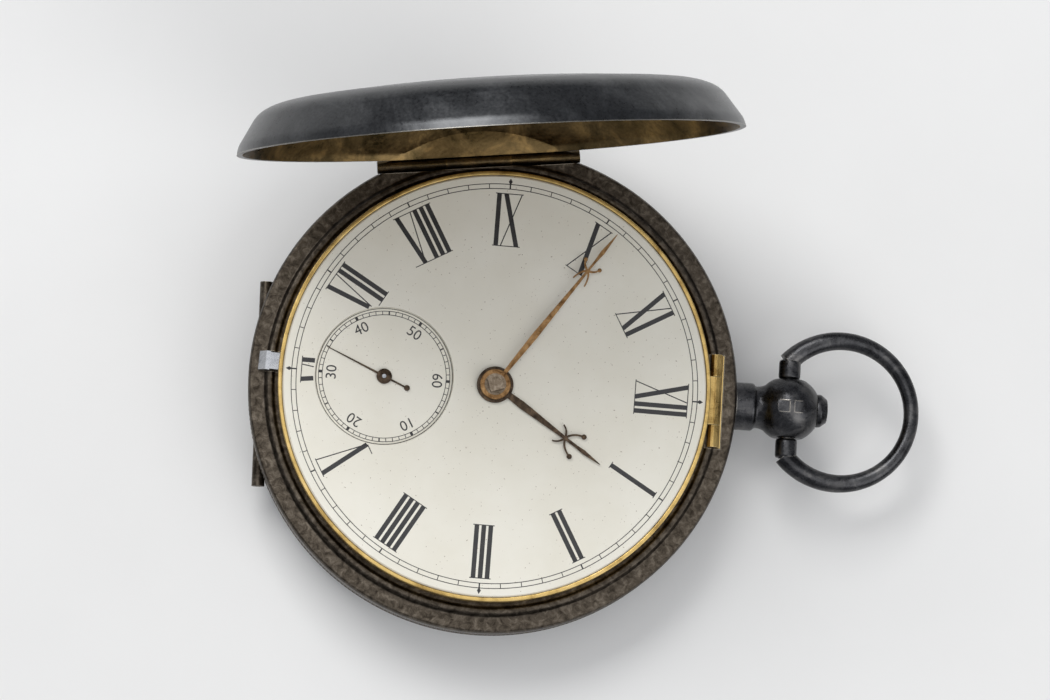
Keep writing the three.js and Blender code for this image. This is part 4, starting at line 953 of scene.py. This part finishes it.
def build_hands():
    hour = crossed_hand("hour_hand_fine", "hour_hand", HOUR_BLADE, HOUR_CROSS, 1.86, 1.5)
    dress(hour, "hour_train", "dark_steel", replaces=["hour_hand"])
    minute = crossed_hand("minute_hand_fine", "minute_hand", MINUTE_BLADE, MINUTE_CROSS, 1.56, 1.1)
    dress(minute, "centre_train", "bronze", replaces=["minute_hand"])
    low, high = box("seconds_hand")
    hand = blade("seconds_hand_fine", SECONDS_BLADE, (low.z, high.z))
    tail_x = SECONDS_BLADE[0][0]
    disc = rounded([(0, low.z), (0.78, low.z), (0.78, high.z), (0, high.z + 0.1)], 0.05)
    ball = rounded([(0, low.z), (0.3, low.z), (0.3, high.z), (0, high.z)], 0.05)
    join(hand, lathe("hub", disc, 64), lathe("ball", ball, 32, at=(tail_x, 0)))
    cut(hand, lathe("bore", [(0, 10), (0.22, 10), (0.22, 16), (0, 16)], 32))
    centre = Vector((SECONDS_AT.x, SECONDS_AT.y, 0))
    angle = direction_of(far_end("seconds_hand", centre))
    move(hand, Matrix.Translation(centre) @ about(angle))
    dress(hand, "fourth_train", "dark_steel", replaces=["seconds_hand"])


def build_brass_edge():
    low, high = box("brass_edge")
    inner, outer = BRASS_EDGE_RADII
    outline = rounded([(inner, low.z), (outer, low.z), (outer, high.z), (inner, high.z)], 0.1, 4)
    ring = lathe("edge_ring", outline, 256)
    leaf_high = box("movement_joint_leaf")[1]
    half = leaf_high.y + 0.05
    cut(ring, block((20, 24), (-half, half), (low.z - 1, leaf_high.z - 0.02)))
    window_span = (-BOLT_WINDOW_HALF, BOLT_WINDOW_HALF)
    cut(ring, block((20, 23), window_span, (10.9, 11.5), BOLT_ANGLE))
    dress(ring, "movement", "gilt", replaces=["brass_edge"])


# ---- Camera, light and floor ---------------------------------------------------------------

CAMERA_LEAN = (-0.0524, -0.1177)
CAMERA_ROLL = math.radians(3.2)
CAMERA_DISTANCE = 470
CAMERA_LENS = 158.6
AIM_SHIFT = (3.05, 3.56)
LIGHT_AIM = Vector((0, 0, 0.01))


def build_camera():
    """Looks down on the dial, leaning a little towards the lower left of it."""
    lean_x, lean_y = CAMERA_LEAN
    up_part = math.sqrt(1 - lean_x ** 2 - lean_y ** 2)
    across = Vector((math.cos(CAMERA_ROLL), math.sin(CAMERA_ROLL)))
    right = Vector((across.x, across.y, -(across.x * lean_x + across.y * lean_y) / up_part))
    right.normalize()
    back = Vector((lean_x, lean_y, up_part))
    up = back.cross(right)
    centre = Vector((0, 0, DIAL_TOP))
    spot = centre + right * AIM_SHIFT[0] + up * AIM_SHIFT[1] + back * CAMERA_DISTANCE
    data = bpy.data.cameras.new("camera")
    data.lens = CAMERA_LENS
    data.sensor_width = 36
    data.clip_start = 0.01
    camera = bpy.data.objects.new("camera", data)
    bpy.context.scene.collection.objects.link(camera)
    turn = Matrix((right, up, back)).transposed().to_4x4()
    camera.matrix_world = Matrix.Translation(spot * MM) @ turn
    bpy.context.scene.camera = camera


def softbox(name, place, size, power):
    data = bpy.data.lights.new(name, "AREA")
    data.shape = "RECTANGLE"
    data.size, data.size_y = size
    data.energy = power
    light = bpy.data.objects.new(name, data)
    bpy.context.scene.collection.objects.link(light)
    light.location = place
    light.rotation_euler = (LIGHT_AIM - Vector(place)).to_track_quat("-Z", "Y").to_euler()


def build_stage():
    bpy.ops.mesh.primitive_plane_add(size=4, location=(0, 0, -0.00002))
    floor = bpy.context.object
    floor.name = "floor"
    floor.data.materials.append(paper_material())
    softbox("key", (-0.25, 0.45, 0.7), (0.5, 0.4), 4.0)
    softbox("fill", (0.5, -0.4, 0.6), (0.6, 0.6), 2.0)
    softbox("top", (0.0, 0.0, 1.0), (0.8, 0.8), 2.1)
    world = bpy.data.worlds.new("studio")
    world.use_nodes = True
    sky = world.node_tree.nodes["Background"].inputs
    sky["Color"].default_value = (0.9, 0.93, 1.0, 1)
    sky["Strength"].default_value = 0.35
    bpy.context.scene.world = world
    bpy.context.scene.view_settings.view_transform = "Standard"


build_camera()
build_stage()
build_hinges()
build_case()
build_dome()
build_covers()
build_pendant()
build_push_piece()
build_bow()
build_dial()
build_hour_print()
build_seconds_print()
build_hands()
build_brass_edge()
